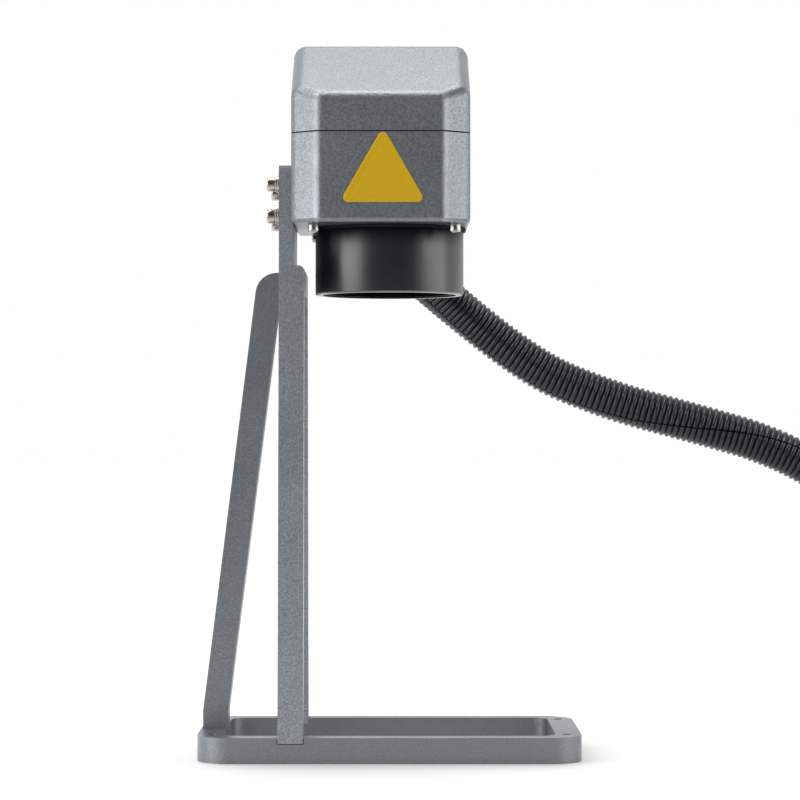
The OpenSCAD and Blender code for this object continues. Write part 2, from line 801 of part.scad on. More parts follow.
module shell_gasket() {
    color("black") translate([0, 0, seam_z]) linear_extrude(gasket_t) difference() {
        polygon(head_outline(gasket_back));
        polygon(head_outline(shell_wall));
    }
}

module shell_screws() {
    color("silver") at_shell_screws() translate([0, 0, head_z])
        socket_screw(shell_screw_d, lower_h + gasket_t + shell_screw_grip,
            head_wide(shell_screw_d), shell_head_h);
}

module side_inserts() {
    color("silver") translate([seat_x, 0, 0]) at_bracket_screws()
        ring_solid(insert_d, bracket_screw_d + 2 * fit, insert_l);
}

module flat_washers() {
    color("silver") translate([up_x0 - washer_t, 0, 0]) at_bracket_screws()
        ring_solid(washer_d, bracket_screw_d + 2 * fit, washer_t);
}

module spring_washers() {
    split = 0.8;
    color("silver") translate([up_x0 - washer_t - spring_washer_t, 0, 0]) at_bracket_screws()
        difference() {
            ring_solid(head_wide(bracket_screw_d) + 0.6, bracket_screw_d + 2 * fit,
                spring_washer_t);
            translate([-split / 2, 0, -cut]) cube([split, washer_d, spring_washer_t + 2 * cut]);
        }
}

module bracket_screws() {
    stack = plate_t + slide_gap + washer_t + spring_washer_t;
    color("silver") translate([up_x0 - washer_t - spring_washer_t, 0, 0]) at_bracket_screws()
        socket_screw(bracket_screw_d, stack + insert_l - 1, head_wide(bracket_screw_d),
            head_high(bracket_screw_d));
}

// Blank three-sided badge on the front face
module badge_plate() {
    half = badge_side / 2;
    middle_x = (head_x0 + head_x1) / 2 + badge_off;
    color("gold") translate([middle_x, head_y0, head_z + badge_up]) rotate([90, 0, 0])
        linear_extrude(badge_t) polygon(rounded(
            [[-half, 0], [half, 0], [0, badge_side * sin(60)]],
            [badge_corner_r, badge_corner_r, badge_corner_r]
        ));
}

module lens_mount_ring() {
    color("silver") difference() {
        union() {
            translate([0, 0, ring_z]) cylinder(d = ring_d, h = ring_t);
            translate([0, 0, ring_z]) cylinder(d = ring_neck_d, h = ring_t + ring_seat);
        }
        translate([0, 0, ring_z - cut])
            cylinder(d = barrel_neck_d + 2 * fit, h = ring_t + ring_seat + 2 * cut);
    }
}

module lens_barrel() {
    color("black") difference() {
        union() {
            translate([0, 0, barrel_z]) cylinder(d = barrel_d, h = barrel_l, $fn = 96);
            translate([0, 0, barrel_z]) cylinder(d = barrel_neck_d, h = neck_top - barrel_z);
        }
        translate([0, 0, barrel_z - cut]) cylinder(d = mouth_d, h = shoulder_z - barrel_z + cut);
        translate([0, 0, barrel_z - cut]) cylinder(d = element_d, h = elements_top - barrel_z + cut);
        cylinder(d = beam_hole_d + 8, h = head_top);
        at_lock_screw() translate([0, 0, -cut])
            cylinder(d = lock_screw_d + 2 * fit, h = lock_screw_l + cut + fit);
    }
}

// Small screw that locks the barrel's thread, in from the left under the mount ring
lock_screw_d = 2.5;
lock_head_t = 1.5;
lock_screw_l = barrel_wall - 2;

module at_lock_screw() {
    translate([-barrel_d / 2, 0, ring_z - head_wide(lock_screw_d)]) along_x() children();
}

module lens_lock_screw() {
    color("dimgray") at_lock_screw()
        socket_screw(lock_screw_d, lock_screw_l, head_wide(lock_screw_d), lock_head_t);
}

module window_ring() {
    color("black") translate([0, 0, window_ring_z])
        ring_solid(mouth_d - 2 * fit, mouth_d - 2 * retainer_w, window_ring_t);
}

module protective_window() {
    color("lightblue", 0.5) translate([0, 0, window_z])
        cylinder(d = mouth_d - 2 * fit, h = window_t);
}

module lens_retainer() {
    color("black") translate([0, 0, shoulder_z])
        ring_solid(element_d - 2 * fit, element_d - 2 * retainer_w, retainer_t);
}

// Lens element: edge from z0 up by t with a flat land, its faces bulging by the two sags
module element(z0, t, sag_low, sag_high) {
    rim = element_d / 2 - fit;
    r = rim - 4;
    steps = 8;
    rotate_extrude() polygon([
        for (i = [0:steps]) let(x = r * i / steps) [x, z0 - sag_low * (1 - pow(x / r, 2))],
        [rim, z0], [rim, z0 + t],
        for (i = [steps:-1:0]) let(x = r * i / steps) [x, z0 + t + sag_high * (1 - pow(x / r, 2))]
    ]);
}

module front_lens() { color("lightblue", 0.5) element(front_lens_z, front_lens_t, 0.5, 3); }

module middle_lens() { color("lightblue", 0.5) element(middle_lens_z, middle_lens_t, -1.5, 2); }

module rear_lens() { color("lightblue", 0.5) element(rear_lens_z, rear_lens_t, -1.5, -1.5); }

module lens_spacers() {
    color("dimgray") for (z = [front_lens_z + front_lens_t, middle_lens_z + middle_lens_t])
        translate([0, 0, z]) ring_solid(element_d - 2 * fit, element_d - 6, spacer_l);
}

// Frames of the two scanner motors: +Z runs along the shaft, away from the mirror
module x_motor_frame() { translate(mirror_pos + [0, 0, x_face]) children(); }
module y_motor_frame() { translate([0, y_face, beam_z]) along_y() children(); }

module motor_case() {
    difference() {
        cylinder(d = motor_d, h = motor_l);
        translate([0, 0, -cut]) cylinder(d = shaft_d + 1.5, h = motor_l + 2 * cut);
        translate([0, 0, 1]) cylinder(d = bearing_d + 2 * fit, h = motor_l - 2);
        translate([0, 0, motor_wall]) cylinder(r = rotor_r + 1, h = motor_l - 2 * motor_wall);
    }
}

module x_motor_case() { color("silver") x_motor_frame() motor_case(); }
module y_motor_case() { color("silver") y_motor_frame() motor_case(); }

module motor_bearings() {
    for (z = [1, motor_l - motor_wall])
        translate([0, 0, z]) ring_solid(bearing_d, shaft_d + 2 * running_fit, bearing_w);
}

module x_bearings() { color("silver") x_motor_frame() motor_bearings(); }
module y_bearings() { color("silver") y_motor_frame() motor_bearings(); }

// Shaft with its magnet, from inside the mirror's holder to the rear bearing
module rotor() {
    translate([0, 0, -holder_clear - holder_l / 2])
        cylinder(d = shaft_d, h = motor_l - 1 + holder_clear + holder_l / 2);
    translate([0, 0, motor_wall + 1]) cylinder(r = rotor_r, h = motor_l - 2 * motor_wall - 2);
}

module x_rotor() { color("dimgray") x_motor_frame() rotor(); }
module y_rotor() { color("dimgray") y_motor_frame() rotor(); }

// Holder: a collar on the shaft with a slot for the glass, whose flat faces lie along Y
module mirror_holder() {
    translate([0, 0, -holder_clear - holder_l]) difference() {
        cylinder(r = holder_r, h = holder_l);
        translate([0, 0, holder_l / 2 - fit])
            cylinder(d = shaft_d + 2 * fit, h = holder_l);
        translate([-glass_t / 2 - fit, -holder_r - cut, -cut])
            cube([glass_t + 2 * fit, 2 * holder_r + 2 * cut, glass_grip + cut]);
    }
}

module mirror_glass(l, w) {
    bottom = -holder_clear - holder_l + glass_grip - l;
    translate([-glass_t / 2, -w / 2, bottom]) cube([glass_t, w, l]);
}

// At rest the first mirror turns the beam from -Y to +X and the second from +X to -Z
x_rest = 45;
y_rest = -45;

module x_mirror_holder() { color("gray") x_motor_frame() rotate(x_rest) mirror_holder(); }
module x_mirror() { color("white") x_motor_frame() rotate(x_rest) mirror_glass(x_glass_l, x_glass_w); }
module y_mirror_holder() { color("gray") y_motor_frame() rotate(y_rest) mirror_holder(); }
module y_mirror() { color("white") y_motor_frame() rotate(y_rest) mirror_glass(y_glass_l, y_glass_w); }

module at_block_screws() {
    for (x = [block_x0 - foot_l / 2, block_x1 + foot_l / 2])
        translate([x, y_face + block_d / 2, 0]) children();
}

module scanner_block() {
    arm_z = beam_z + x_face;
    arm_x1 = -mirror_gap + motor_d / 2 + block_wall;
    color("gray") difference() {
        union() {
            translate([block_x0 - foot_l, y_face, floor_z])
                cube([block_x1 - block_x0 + 2 * foot_l, block_d, foot_t]);
            translate([block_x0, y_face, floor_z])
                cube([block_x1 - block_x0, block_d, beam_z + motor_d / 2 + block_wall - floor_z]);
            translate([block_x0, y_face, floor_z])
                cube([arm_x1 - block_x0, block_d, arm_z + 2 * foot_t - floor_z]);
            translate([block_x0, -motor_d / 2 - block_wall, arm_z])
                cube([arm_x1 - block_x0, motor_d / 2 + block_wall + y_face + 1, 2 * foot_t]);
        }
        translate([-mirror_gap, 0, arm_z - cut])
            cylinder(d = motor_d + 2 * fit, h = 2 * foot_t + 2 * cut);
        translate([0, y_face - cut, beam_z]) along_y()
            cylinder(d = motor_d + 2 * fit, h = block_d + 2 * cut);
        translate([-mirror_gap, y_face - cut, beam_z]) along_y()
            cylinder(d = collimator_d + 2 * fit, h = block_d + 2 * cut);
        at_block_screws() translate([0, 0, floor_z - cut])
            cylinder(d = block_screw_d + 2 * fit, h = foot_t + 2 * cut);
    }
}

module block_screws() {
    color("silver") at_block_screws() translate([0, 0, floor_z + foot_t]) mirror([0, 0, 1])
        socket_screw(block_screw_d, floor_z + foot_t - neck_top - tip_clear,
            head_wide(block_screw_d), head_high(block_screw_d));
}

// The collimator's rear end lies behind the block
collimator_y = y_face + block_d + 3 - collimator_l;

module collimator() {
    color("silver") translate([-mirror_gap, collimator_y, beam_z]) along_y() difference() {
        cylinder(d = collimator_d, h = collimator_l);
        translate([0, 0, -cut]) cylinder(d = collimator_d - 6, h = collimator_l / 2);
        translate([0, 0, -cut]) cylinder(d = fibre_d + 2 * fit, h = collimator_l + 2 * cut);
    }
}

module fibre_lead() {
    fibre_y = collimator_y + collimator_l * 0.75;
    color("gold") translate([-mirror_gap, fibre_y, beam_z]) along_y()
        cylinder(d = fibre_d, h = gland_end_y - lip_t - fibre_y);
}

module at_standoffs() {
    for (y = standoff_ys, z = standoff_zs) translate([board_x1, y, z]) along_x() children();
}

module driver_board() {
    color("darkgreen") difference() {
        translate([board_x0, -board_l / 2, board_z]) cube([board_t, board_l, board_h]);
        at_standoffs() translate([0, 0, -board_t - cut])
            cylinder(d = board_screw_d + 2 * fit, h = board_t + 2 * cut);
    }
}

module board_standoffs() {
    color("gold") at_standoffs() ring_solid(standoff_d, board_screw_d + 2 * fit, standoff_l);
}

module board_screws() {
    color("silver") at_standoffs() translate([0, 0, -board_t])
        socket_screw(board_screw_d, board_t + standoff_l - 1, head_wide(board_screw_d),
            head_high(board_screw_d) * 0.7);
}

// Heat sink, capacitors, chips and the lead's socket, all seated on the board
module board_parts() {
    sink = [8, 26, 16];
    chip = [1.6, 10, 8];
    color("dimgray") {
        translate([board_x0 - sink.x, -board_l / 2 + parts_edge, board_z + board_h / 2]) difference() {
            cube(sink);
            for (i = [0:4])
                translate([-cut, 2 + i * 5, -cut]) cube([sink.x - 2 + cut, 2.5, sink.z + 2 * cut]);
        }
        for (i = [0:2])
            translate([board_x0 - chip.x, -board_l / 2 + chip_edge + 16 * i, board_z + chip_up])
                cube(chip);
        for (i = [0:1])
            translate([board_x0, -board_l / 2 + parts_edge + 12 * i, board_z + capacitor_up])
                mirror([1, 0, 0]) along_x() cylinder(d = 8, h = 10);
        translate(plug_pos) cube(plug_size);
    }
}

module signal_lead() {
    line = smooth_route(lead_route, 3);
    color("black") solid_tube(line, [for (p = line) lead_d / 2], 8);
}

module gland_body() {
    color("dimgray") difference() {
        union() {
            at_gland(nipple_y) cylinder(d = gland_thread_d, h = gland_seat_y - nipple_y + 1);
            at_gland(gland_seat_y) turned_hexagon(gland_flats, gland_flange_t);
            at_gland(gland_seat_y)
                cylinder(r = gland_neck_r, h = gland_end_y - lip_t - fit - gland_seat_y);
        }
        at_gland(nipple_y - cut) cylinder(d = gland_bore_d, h = gland_end_y);
    }
}

module gland_nut() {
    color("dimgray") difference() {
        at_gland(gland_end_y - gland_nut_l) turned_hexagon(gland_flats + 2, gland_nut_l);
        at_gland(gland_end_y - gland_nut_l - cut)
            cylinder(r = gland_neck_r + fit, h = gland_nut_l - lip_t + cut);
        at_gland(gland_end_y - gland_nut_l) cylinder(d = hose_bore, h = gland_nut_l + cut);
    }
}

module gland_seal() {
    color("black") at_gland(head_y1)
        ring_solid(gland_flats - 1, gland_thread_d + 2 * fit, gland_seal_t);
}

module gland_locknut() {
    color("silver") at_gland(head_y1 - shell_wall - locknut_t) difference() {
        turned_hexagon(gland_flats, locknut_t);
        translate([0, 0, -cut]) cylinder(d = gland_thread_d + 2 * fit, h = locknut_t + 2 * cut);
    }
}

// Corrugated hose from the gland down to the coil
rib_count = 196;
hose_fine = smooth_route(hose_route, 8);
hose_lengths = run_lengths(hose_fine);
hose_run_l = hose_lengths[len(hose_lengths) - 1];

// Point of the hose's middle line at a running length
function hose_at(s) =
    let(
        n = len(hose_fine) - 1,
        low = search_length(s, 0, n)
    )
    between(hose_fine[low], hose_fine[low + 1],
        (s - hose_lengths[low]) / (hose_lengths[low + 1] - hose_lengths[low]));

// Number of the last fine point at or before a running length, by halving
function search_length(s, a, b) =
    b - a <= 1 ? a :
    let(m = floor((a + b) / 2))
    hose_lengths[m] <= s ? search_length(s, m, b) : search_length(s, a, m);

module hose_run() {
    rings = 2 * rib_count;
    bore_rings = 48;
    line = [for (i = [0:rings]) hose_at(hose_run_l * i / rings)];
    radii = [for (i = [0:rings]) hose_d / 2 - (i % 2 == 0 ? rib_depth : 0)];
    inner = [for (i = [0:bore_rings]) hose_at(hose_run_l * i / bore_rings)];
    color("dimgray") bored_tube(line, radii, inner, hose_bore / 2, 8);
}

// Coil: the spiral runs in, turns round while it climbs a layer in half a turn, and runs out
hose_end = hose_route[len(hose_route) - 1];
coil_r = 165;
coil_step = 29.5;
coil_layer = 32;
coil_climb_from = 1;
coil_climb_turns = 0.5;
coil_turns = 2;
coil_rings = 24;
coil_middle = [hose_end.x + hose_d, hose_end.y - coil_r];
// Bearing from the coil's middle at which the hose comes in
coil_bearing = 90;

// Share of the climb that is done after t turns
function climbed(t) = min(max((t - coil_climb_from) / coil_climb_turns, 0), 1);

// Number of steps that the spiral stands in from its start after t turns
function steps_in(t) =
    let(u = climbed(t))
    t <= coil_climb_from ? t :
    u < 1 ? coil_climb_from + coil_climb_turns * (u - u * u) :
    2 * coil_climb_from + coil_climb_turns - t;

// Middle line of the coil after t turns, clockwise from the back
function coil_point(t) =
    let(
        r = coil_r - coil_step * steps_in(t),
        u = climbed(t),
        a = coil_bearing - 360 * t
    )
    [
        coil_middle.x + r * cos(a), coil_middle.y + r * sin(a),
        hose_end.z + coil_layer * u * u * (3 - 2 * u)
    ];

coil_last = coil_rings * coil_turns;
coil_exit = coil_point(coil_turns);
// The end runs straight for one diameter, level along +X
coil_tip = coil_exit + [hose_d, 0, 0];
coil_line = [
    hose_end, each [for (i = [0:coil_last]) coil_point(i / coil_rings)], coil_tip
];

// Width across the flats of the end fitting's nut
fitting_flats = 33;

// Least distance between the surfaces of turns that pass each other, on the rings' middle points
coil_gap = min([
    for (i = [0:coil_last], j = [i + 6:1:coil_last])
        norm(coil_point(i / coil_rings) - coil_point(j / coil_rings))
]) - hose_d;

module hose_coil() {
    echo(coil_gap = coil_gap, coil_turns = coil_turns, hose_run_l = hose_run_l);
    color("dimgray") solid_tube(coil_line, [for (p = coil_line) hose_d / 2], 6);
}

// Threaded end fitting: clamping nut, flange, thread and a closed plug face with its pins
module hose_end_fitting() {
    nut_l = 14;
    flange_t = 6;
    pin_circle = 7;
    color("dimgray") translate(coil_tip) along_x() rotate(30) {
        difference() {
            union() {
                turned_hexagon(fitting_flats, nut_l);
                translate([0, 0, nut_l]) turned_hexagon(fitting_flats - 2, flange_t);
                translate([0, 0, 2]) cylinder(d = gland_thread_d, h = fitting_l - 2);
            }
            translate([0, 0, fitting_l - 6]) cylinder(d = gland_thread_d - 3, h = 6 + cut);
        }
        for (i = [0:5])
            rotate(60 * i) translate([pin_circle, 0, fitting_l - 7]) cylinder(d = 1.5, h = 5);
    }
}

base_ring();
upright_frame();
brace();
leg_screws();
brace_foot_screws();
brace_top_screws();
lower_shell();
upper_shell();
shell_gasket();
shell_screws();
side_inserts();
bracket_screws();
spring_washers();
flat_washers();
badge_plate();
lens_mount_ring();
lens_barrel();
lens_lock_screw();
window_ring();
protective_window();
lens_retainer();
front_lens();
middle_lens();
rear_lens();
lens_spacers();
scanner_block();
block_screws();
x_motor_case();
y_motor_case();
x_bearings();
y_bearings();
x_rotor();
x_mirror_holder();
x_mirror();
y_rotor();
y_mirror_holder();
y_mirror();
collimator();
fibre_lead();
driver_board();
board_parts();
board_standoffs();
board_screws();
signal_lead();
gland_body();
gland_nut();
gland_seal();
gland_locknut();
hose_run();
hose_coil();
hose_end_fitting();
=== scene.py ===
import json
import math

import bmesh
import bpy
import numpy as np
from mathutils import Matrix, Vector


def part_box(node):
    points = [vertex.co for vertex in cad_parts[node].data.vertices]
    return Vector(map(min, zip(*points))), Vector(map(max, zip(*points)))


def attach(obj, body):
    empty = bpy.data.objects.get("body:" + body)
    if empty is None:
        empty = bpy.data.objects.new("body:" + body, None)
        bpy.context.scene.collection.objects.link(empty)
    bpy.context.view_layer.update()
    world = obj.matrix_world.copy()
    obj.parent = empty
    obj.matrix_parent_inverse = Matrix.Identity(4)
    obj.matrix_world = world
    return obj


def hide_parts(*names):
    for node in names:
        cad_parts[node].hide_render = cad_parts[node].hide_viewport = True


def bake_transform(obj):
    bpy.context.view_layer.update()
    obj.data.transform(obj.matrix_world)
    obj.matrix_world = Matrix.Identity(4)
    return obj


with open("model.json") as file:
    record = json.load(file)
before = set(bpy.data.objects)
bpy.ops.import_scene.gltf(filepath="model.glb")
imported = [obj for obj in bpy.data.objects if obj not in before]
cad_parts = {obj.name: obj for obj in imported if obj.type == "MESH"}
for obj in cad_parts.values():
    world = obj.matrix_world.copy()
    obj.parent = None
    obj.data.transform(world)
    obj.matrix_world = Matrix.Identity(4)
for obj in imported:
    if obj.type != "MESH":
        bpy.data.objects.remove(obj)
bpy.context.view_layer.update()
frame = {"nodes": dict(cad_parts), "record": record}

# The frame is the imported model's, in metres: the origin is on the lens axis at the underside of the
# base ring, the front faces -Y and +Z is up. Shapes are worked out in millimetres, scaled by MM.
MM = 0.001
nodes = frame["nodes"]


def box_mm(node):
    """Lowest and highest corner of a CAD node, in millimetres."""
    low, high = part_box(node)
    return np.array(low) / MM, np.array(high) / MM


# Camera

camera_place_mm = (-0.9, -1671.0, 196.4)
camera_focal_px = 2745.0
picture_px = 800.0
# Where the line straight ahead of the camera meets the picture
axis_px = (388.0, 429.0)
sensor_mm = 36.0


def make_camera():
    """A level camera that looks along +Y, with the picture shifted on its axis."""
    data = bpy.data.cameras.new("camera")
    data.sensor_width = sensor_mm
    data.lens = camera_focal_px * sensor_mm / picture_px
    data.shift_x = 0.5 - axis_px[0] / picture_px
    data.shift_y = axis_px[1] / picture_px - 0.5
    data.clip_start = 0.05
    data.clip_end = 60
    camera = bpy.data.objects.new("camera", data)
    camera.location = np.array(camera_place_mm) * MM
    camera.rotation_euler = (math.radians(90), 0, 0)
    bpy.context.scene.collection.objects.link(camera)
    bpy.context.scene.camera = camera


# Meshes from arrays


def add_piece(name, points_mm, faces, body, slot, material, replaced=(), sharp=35):
    """A mesh piece in millimetre points: welded, turned outwards, smooth but for its sharp edges,
    riding on a body, with a material and the CAD nodes that it stands for. The slot is not used."""
    mesh = bpy.data.meshes.new(name)
    mesh.from_pydata((np.asarray(points_mm, float) * MM).tolist(), [], faces)
    piece = bpy.data.objects.new(name, mesh)
    bpy.context.scene.collection.objects.link(piece)
    work = bmesh.new()
    work.from_mesh(mesh)
    bmesh.ops.remove_doubles(work, verts=work.verts, dist=1e-6)
    bmesh.ops.recalc_face_normals(work, faces=work.faces)
    work.to_mesh(mesh)
    work.free()
    mesh.shade_smooth()
    mesh.set_sharp_from_angle(angle=math.radians(sharp))
    mesh.materials.append(material)
    if body:
        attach(piece, body)
    if replaced:
        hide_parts(*replaced)
    return piece


def paint(piece, material, chosen):
    """Gives a second material to the faces whose middles, in millimetres, are chosen."""
    mesh = piece.data
    middles = np.empty(len(mesh.polygons) * 3)
    mesh.polygons.foreach_get("center", middles)
    slots = np.empty(len(mesh.polygons), np.int32)
    mesh.polygons.foreach_get("material_index", slots)
    slots[chosen(middles.reshape(-1, 3) / MM)] = len(mesh.materials)
    mesh.materials.append(material)
    mesh.polygons.foreach_set("material_index", slots)


def grid_faces(rows, columns, first=0, close_rows=False):
    """Quads of a grid of points whose columns go round and, if asked, whose rows do too."""
    r = np.arange(rows if close_rows else rows - 1)[:, None]
    c = np.arange(columns)[None, :]
    below = (r + 1) % rows
    beside = (c + 1) % columns
    quads = np.stack(
        [r * columns + c, r * columns + beside, below * columns + beside, below * columns + c], -1
    )
    return (quads.reshape(-1, 4) + first).tolist()


def tube_faces(rows, columns):
    """Quads of a grid whose columns go round, with a face over each end."""
    first, last = list(range(columns)), list(range((rows - 1) * columns, rows * columns))
    return grid_faces(rows, columns) + [first, last]


def fillet(points, radii, steps=4):
    """A closed outline with each corner replaced by an arc of its own radius: the arc's middle lies
    on the corner's bisector, where both sides are one radius away."""
    points = np.asarray(points, float)
    made = []
    for i, corner in enumerate(points):
        radius = radii[i] if hasattr(radii, "__len__") else radii
        before = points[i - 1] - corner
        after = points[(i + 1) % len(points)] - corner
        u = before / np.linalg.norm(before)
        v = after / np.linalg.norm(after)
        half = math.acos(np.clip(u @ v, -1, 1)) / 2
        if radius <= 0 or abs(half - math.pi / 2) < 1e-3:
            made.append(corner)
            continue
        middle = corner + (u + v) / np.linalg.norm(u + v) * radius / math.sin(half)
        first = corner + u * radius / math.tan(half) - middle
        last = corner + v * radius / math.tan(half) - middle
        start = math.atan2(first[1], first[0])
        sweep = (math.atan2(last[1], last[0]) - start + math.pi) % (2 * math.pi) - math.pi
        turn = start + sweep * np.linspace(0, 1, steps + 1)
        made.extend(middle + radius * np.stack([np.cos(turn), np.sin(turn)], 1))
    return np.array(made)


AXES = {
    "+Z": ((1, 0, 0), (0, 1, 0), (0, 0, 1)),
    "+X": ((0, 1, 0), (0, 0, 1), (1, 0, 0)),
    "+Y": ((0, 0, 1), (1, 0, 0), (0, 1, 0)),
}


def turned(rows, place, axis="+Z", segments=96, closed=True):
    """Points and faces of a turned form: row i is a ring of radius rows[i][0], a number or a function
    of the angle, at height rows[i][1] along the axis. A closed form joins its last row to its first."""
    angle = np.arange(segments) * 2 * math.pi / segments
    radius = np.array([r(angle) if callable(r) else np.full(segments, r) for r, z in rows])
    height = np.array([z for r, z in rows])[:, None]
    u, v, w = (np.array(a, float) for a in AXES[axis])
    points = (
        np.asarray(place, float)
        + (radius * np.cos(angle))[..., None] * u
        + (radius * np.sin(angle))[..., None] * v
        + (height * np.ones(segments))[..., None] * w
    )
    return points.reshape(-1, 3), grid_faces(len(rows), segments, close_rows=closed)


def together(parts):
    """Several sets of points and faces as one set."""
    points, faces, count = [], [], 0
    for p, f in parts:
        points.append(p)
        faces.extend([[i + count for i in face] for face in f])
        count += len(p)
    return np.concatenate(points), faces


def hexagon(flats):
    """Radius of a hexagon round the axis, as a function of the angle, from its width over flats."""
    return lambda angle: flats / 2 / np.cos((angle + math.pi / 6) % (math.pi / 3) - math.pi / 6)


def bevelled(node, width_mm, body, material, segments=2, angle=30):
    """A CAD node's own shape with its edges broken: a welded copy of its mesh under a bevel."""
    mesh = nodes[node].data.copy()
    work = bmesh.new()
    work.from_mesh(mesh)
    bmesh.ops.remove_doubles(work, verts=work.verts, dist=2e-6)
    bmesh.ops.dissolve_limit(
        work, angle_limit=math.radians(0.5), verts=work.verts, edges=work.edges
    )
    work.to_mesh(mesh)
    work.free()
    piece = bpy.data.objects.new(node + "_finished", mesh)
    bpy.context.scene.collection.objects.link(piece)
    mesh.materials.clear()
    mesh.materials.append(material)
    mesh.shade_smooth()
    mesh.set_sharp_from_angle(angle=math.radians(angle))
    bevel = piece.modifiers.new("broken_edges", "BEVEL")
    bevel.width = width_mm * MM
    bevel.segments = segments
    bevel.limit_method = "ANGLE"
    bevel.angle_limit = math.radians(angle)
    bevel.harden_normals = True
    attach(piece, body)
    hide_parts(node)
    return piece


# Materials


def new_material(name):
    """An empty material with its principled shader and its node tree."""
    material = bpy.data.materials.new(name)
    material.use_nodes = True
    tree = material.node_tree
    return material, tree, tree.nodes["Principled BSDF"]


def noise(tree, scale, detail=2.0, roughness=0.5, stretch=None):
    """Noise on object coordinates, with scale in turns per metre and an optional stretch."""
    place = tree.nodes.new("ShaderNodeTexCoord")
    made = tree.nodes.new("ShaderNodeTexNoise")
    made.inputs["Scale"].default_value = scale
    made.inputs["Detail"].default_value = detail
    made.inputs["Roughness"].default_value = roughness
    if stretch:
        mapping = tree.nodes.new("ShaderNodeMapping")
        mapping.inputs["Scale"].default_value = stretch
        tree.links.new(place.outputs["Object"], mapping.inputs["Vector"])
        tree.links.new(mapping.outputs["Vector"], made.inputs["Vector"])
    else:
        tree.links.new(place.outputs["Object"], made.inputs["Vector"])
    return made.outputs["Fac"]


def spread(tree, source, low, high, centre=0.5, width=0.2):
    """A value from low to high as the source goes from centre - width to centre + width."""
    made = tree.nodes.new("ShaderNodeMapRange")
    made.inputs["From Min"].default_value = centre - width
    made.inputs["From Max"].default_value = centre + width
    made.inputs["To Min"].default_value = low
    made.inputs["To Max"].default_value = high
    tree.links.new(source, made.inputs["Value"])
    return made.outputs["Result"]


def colours(tree, source, low, high):
    """A colour from low to high as the source goes over the middle of a noise's range."""
    made = tree.nodes.new("ShaderNodeValToRGB")
    for end, place, colour in zip(made.color_ramp.elements, (0.3, 0.7), (low, high)):
        end.position = place
        end.color = (*colour, 1)
    tree.links.new(source, made.inputs["Fac"])
    return made.outputs["Color"]


def relief(tree, shader, source, depth_mm):
    """Bump from the source, as deep as given, into the shader's normal."""
    made = tree.nodes.new("ShaderNodeBump")
    made.inputs["Strength"].default_value = 1.0
    made.inputs["Distance"].default_value = depth_mm * MM
    tree.links.new(source, made.inputs["Height"])
    tree.links.new(made.outputs["Normal"], shader.inputs["Normal"])


def mixed(tree, share, a, colour):
    """A colour socket mixed, by a share, with a plain colour."""
    made = tree.nodes.new("ShaderNodeMix")
    made.data_type = "RGBA"
    tree.links.new(share, made.inputs[0])
    tree.links.new(a, made.inputs[6])
    made.inputs[7].default_value = (*colour, 1)
    return made.outputs[2]


def shade(colour, by):
    """The colour, lighter or darker."""
    return tuple(c * by for c in colour)


# Turns per metre of the slow changes in a finish, and how much paler its painted highlights are
blotch_scale = 25.0
painted_highlight_shade = 1.45


def finish(name, colour, metallic=0.0, roughness=0.5, vary=0.06, grain=900.0, grain_mm=0.01,
           contrast=0.12, stretch=None, coat=0.0, specular=0.5, painted_highlights=None, painted_gloss_shade=None):
    """A finish with fine grain in its colour and relief and slow changes in its roughness. Where a
    mask of painted highlights is given its colour is painted paler there, and where a mask of
    painted shade on its gloss is given its specular level follows that mask."""
    material, tree, shader = new_material(name)
    fine = noise(tree, grain, 3.0, 0.6, stretch)
    slow = noise(tree, blotch_scale, 3.0, 0.5)
    base = colours(tree, fine, shade(colour, 1 - contrast), shade(colour, 1 + contrast))
    # Painted highlight: the colour is mixed paler where the mask is full
    if painted_highlights:
        base = mixed(tree, painted_highlights(tree), base, shade(colour, painted_highlight_shade))
    tree.links.new(base, shader.inputs["Base Color"])
    tree.links.new(
        spread(tree, slow, roughness - vary, roughness + vary), shader.inputs["Roughness"]
    )
    relief(tree, shader, fine, grain_mm)
    shader.inputs["Metallic"].default_value = metallic
    shader.inputs["Specular IOR Level"].default_value = specular
    # Painted shade: the specular level follows the given mask
    if painted_gloss_shade:
        tree.links.new(painted_gloss_shade(tree), shader.inputs["Specular IOR Level"])
    if coat:
        shader.inputs["Coat Weight"].default_value = coat
        shader.inputs["Coat Roughness"].default_value = 0.12
    return material


def glass_finish(name, colour):
    """Coated optical glass: clear, with a faint coloured coat."""
    material, _, shader = new_material(name)
    shader.inputs["Base Color"].default_value = (*colour, 1)
    shader.inputs["Roughness"].default_value = 0.02
    shader.inputs["IOR"].default_value = 1.5
    shader.inputs["Transmission Weight"].default_value = 1.0
    shader.inputs["Coat Weight"].default_value = 0.4
    shader.inputs["Coat Tint"].default_value = (0.55, 0.8, 0.75, 1)
    return material


def board_finish(name):
    """A green circuit board: darker mask with paler tracks in a fine block pattern."""
    material, tree, shader = new_material(name)
    place = tree.nodes.new("ShaderNodeTexCoord")
    mapping = tree.nodes.new("ShaderNodeMapping")
    mapping.inputs["Rotation"].default_value = (0, math.radians(90), 0)
    bricks = tree.nodes.new("ShaderNodeTexBrick")
    bricks.inputs["Scale"].default_value = 120
    bricks.inputs["Mortar Size"].default_value = 0.06
    bricks.inputs["Color1"].default_value = (0.01, 0.09, 0.04, 1)
    bricks.inputs["Color2"].default_value = (0.012, 0.11, 0.05, 1)
    bricks.inputs["Mortar"].default_value = (0.03, 0.2, 0.09, 1)
    tree.links.new(place.outputs["Object"], mapping.inputs["Vector"])
    tree.links.new(mapping.outputs["Vector"], bricks.inputs["Vector"])
    tree.links.new(bricks.outputs["Color"], shader.inputs["Base Color"])
    shader.inputs["Roughness"].default_value = 0.35
    return material


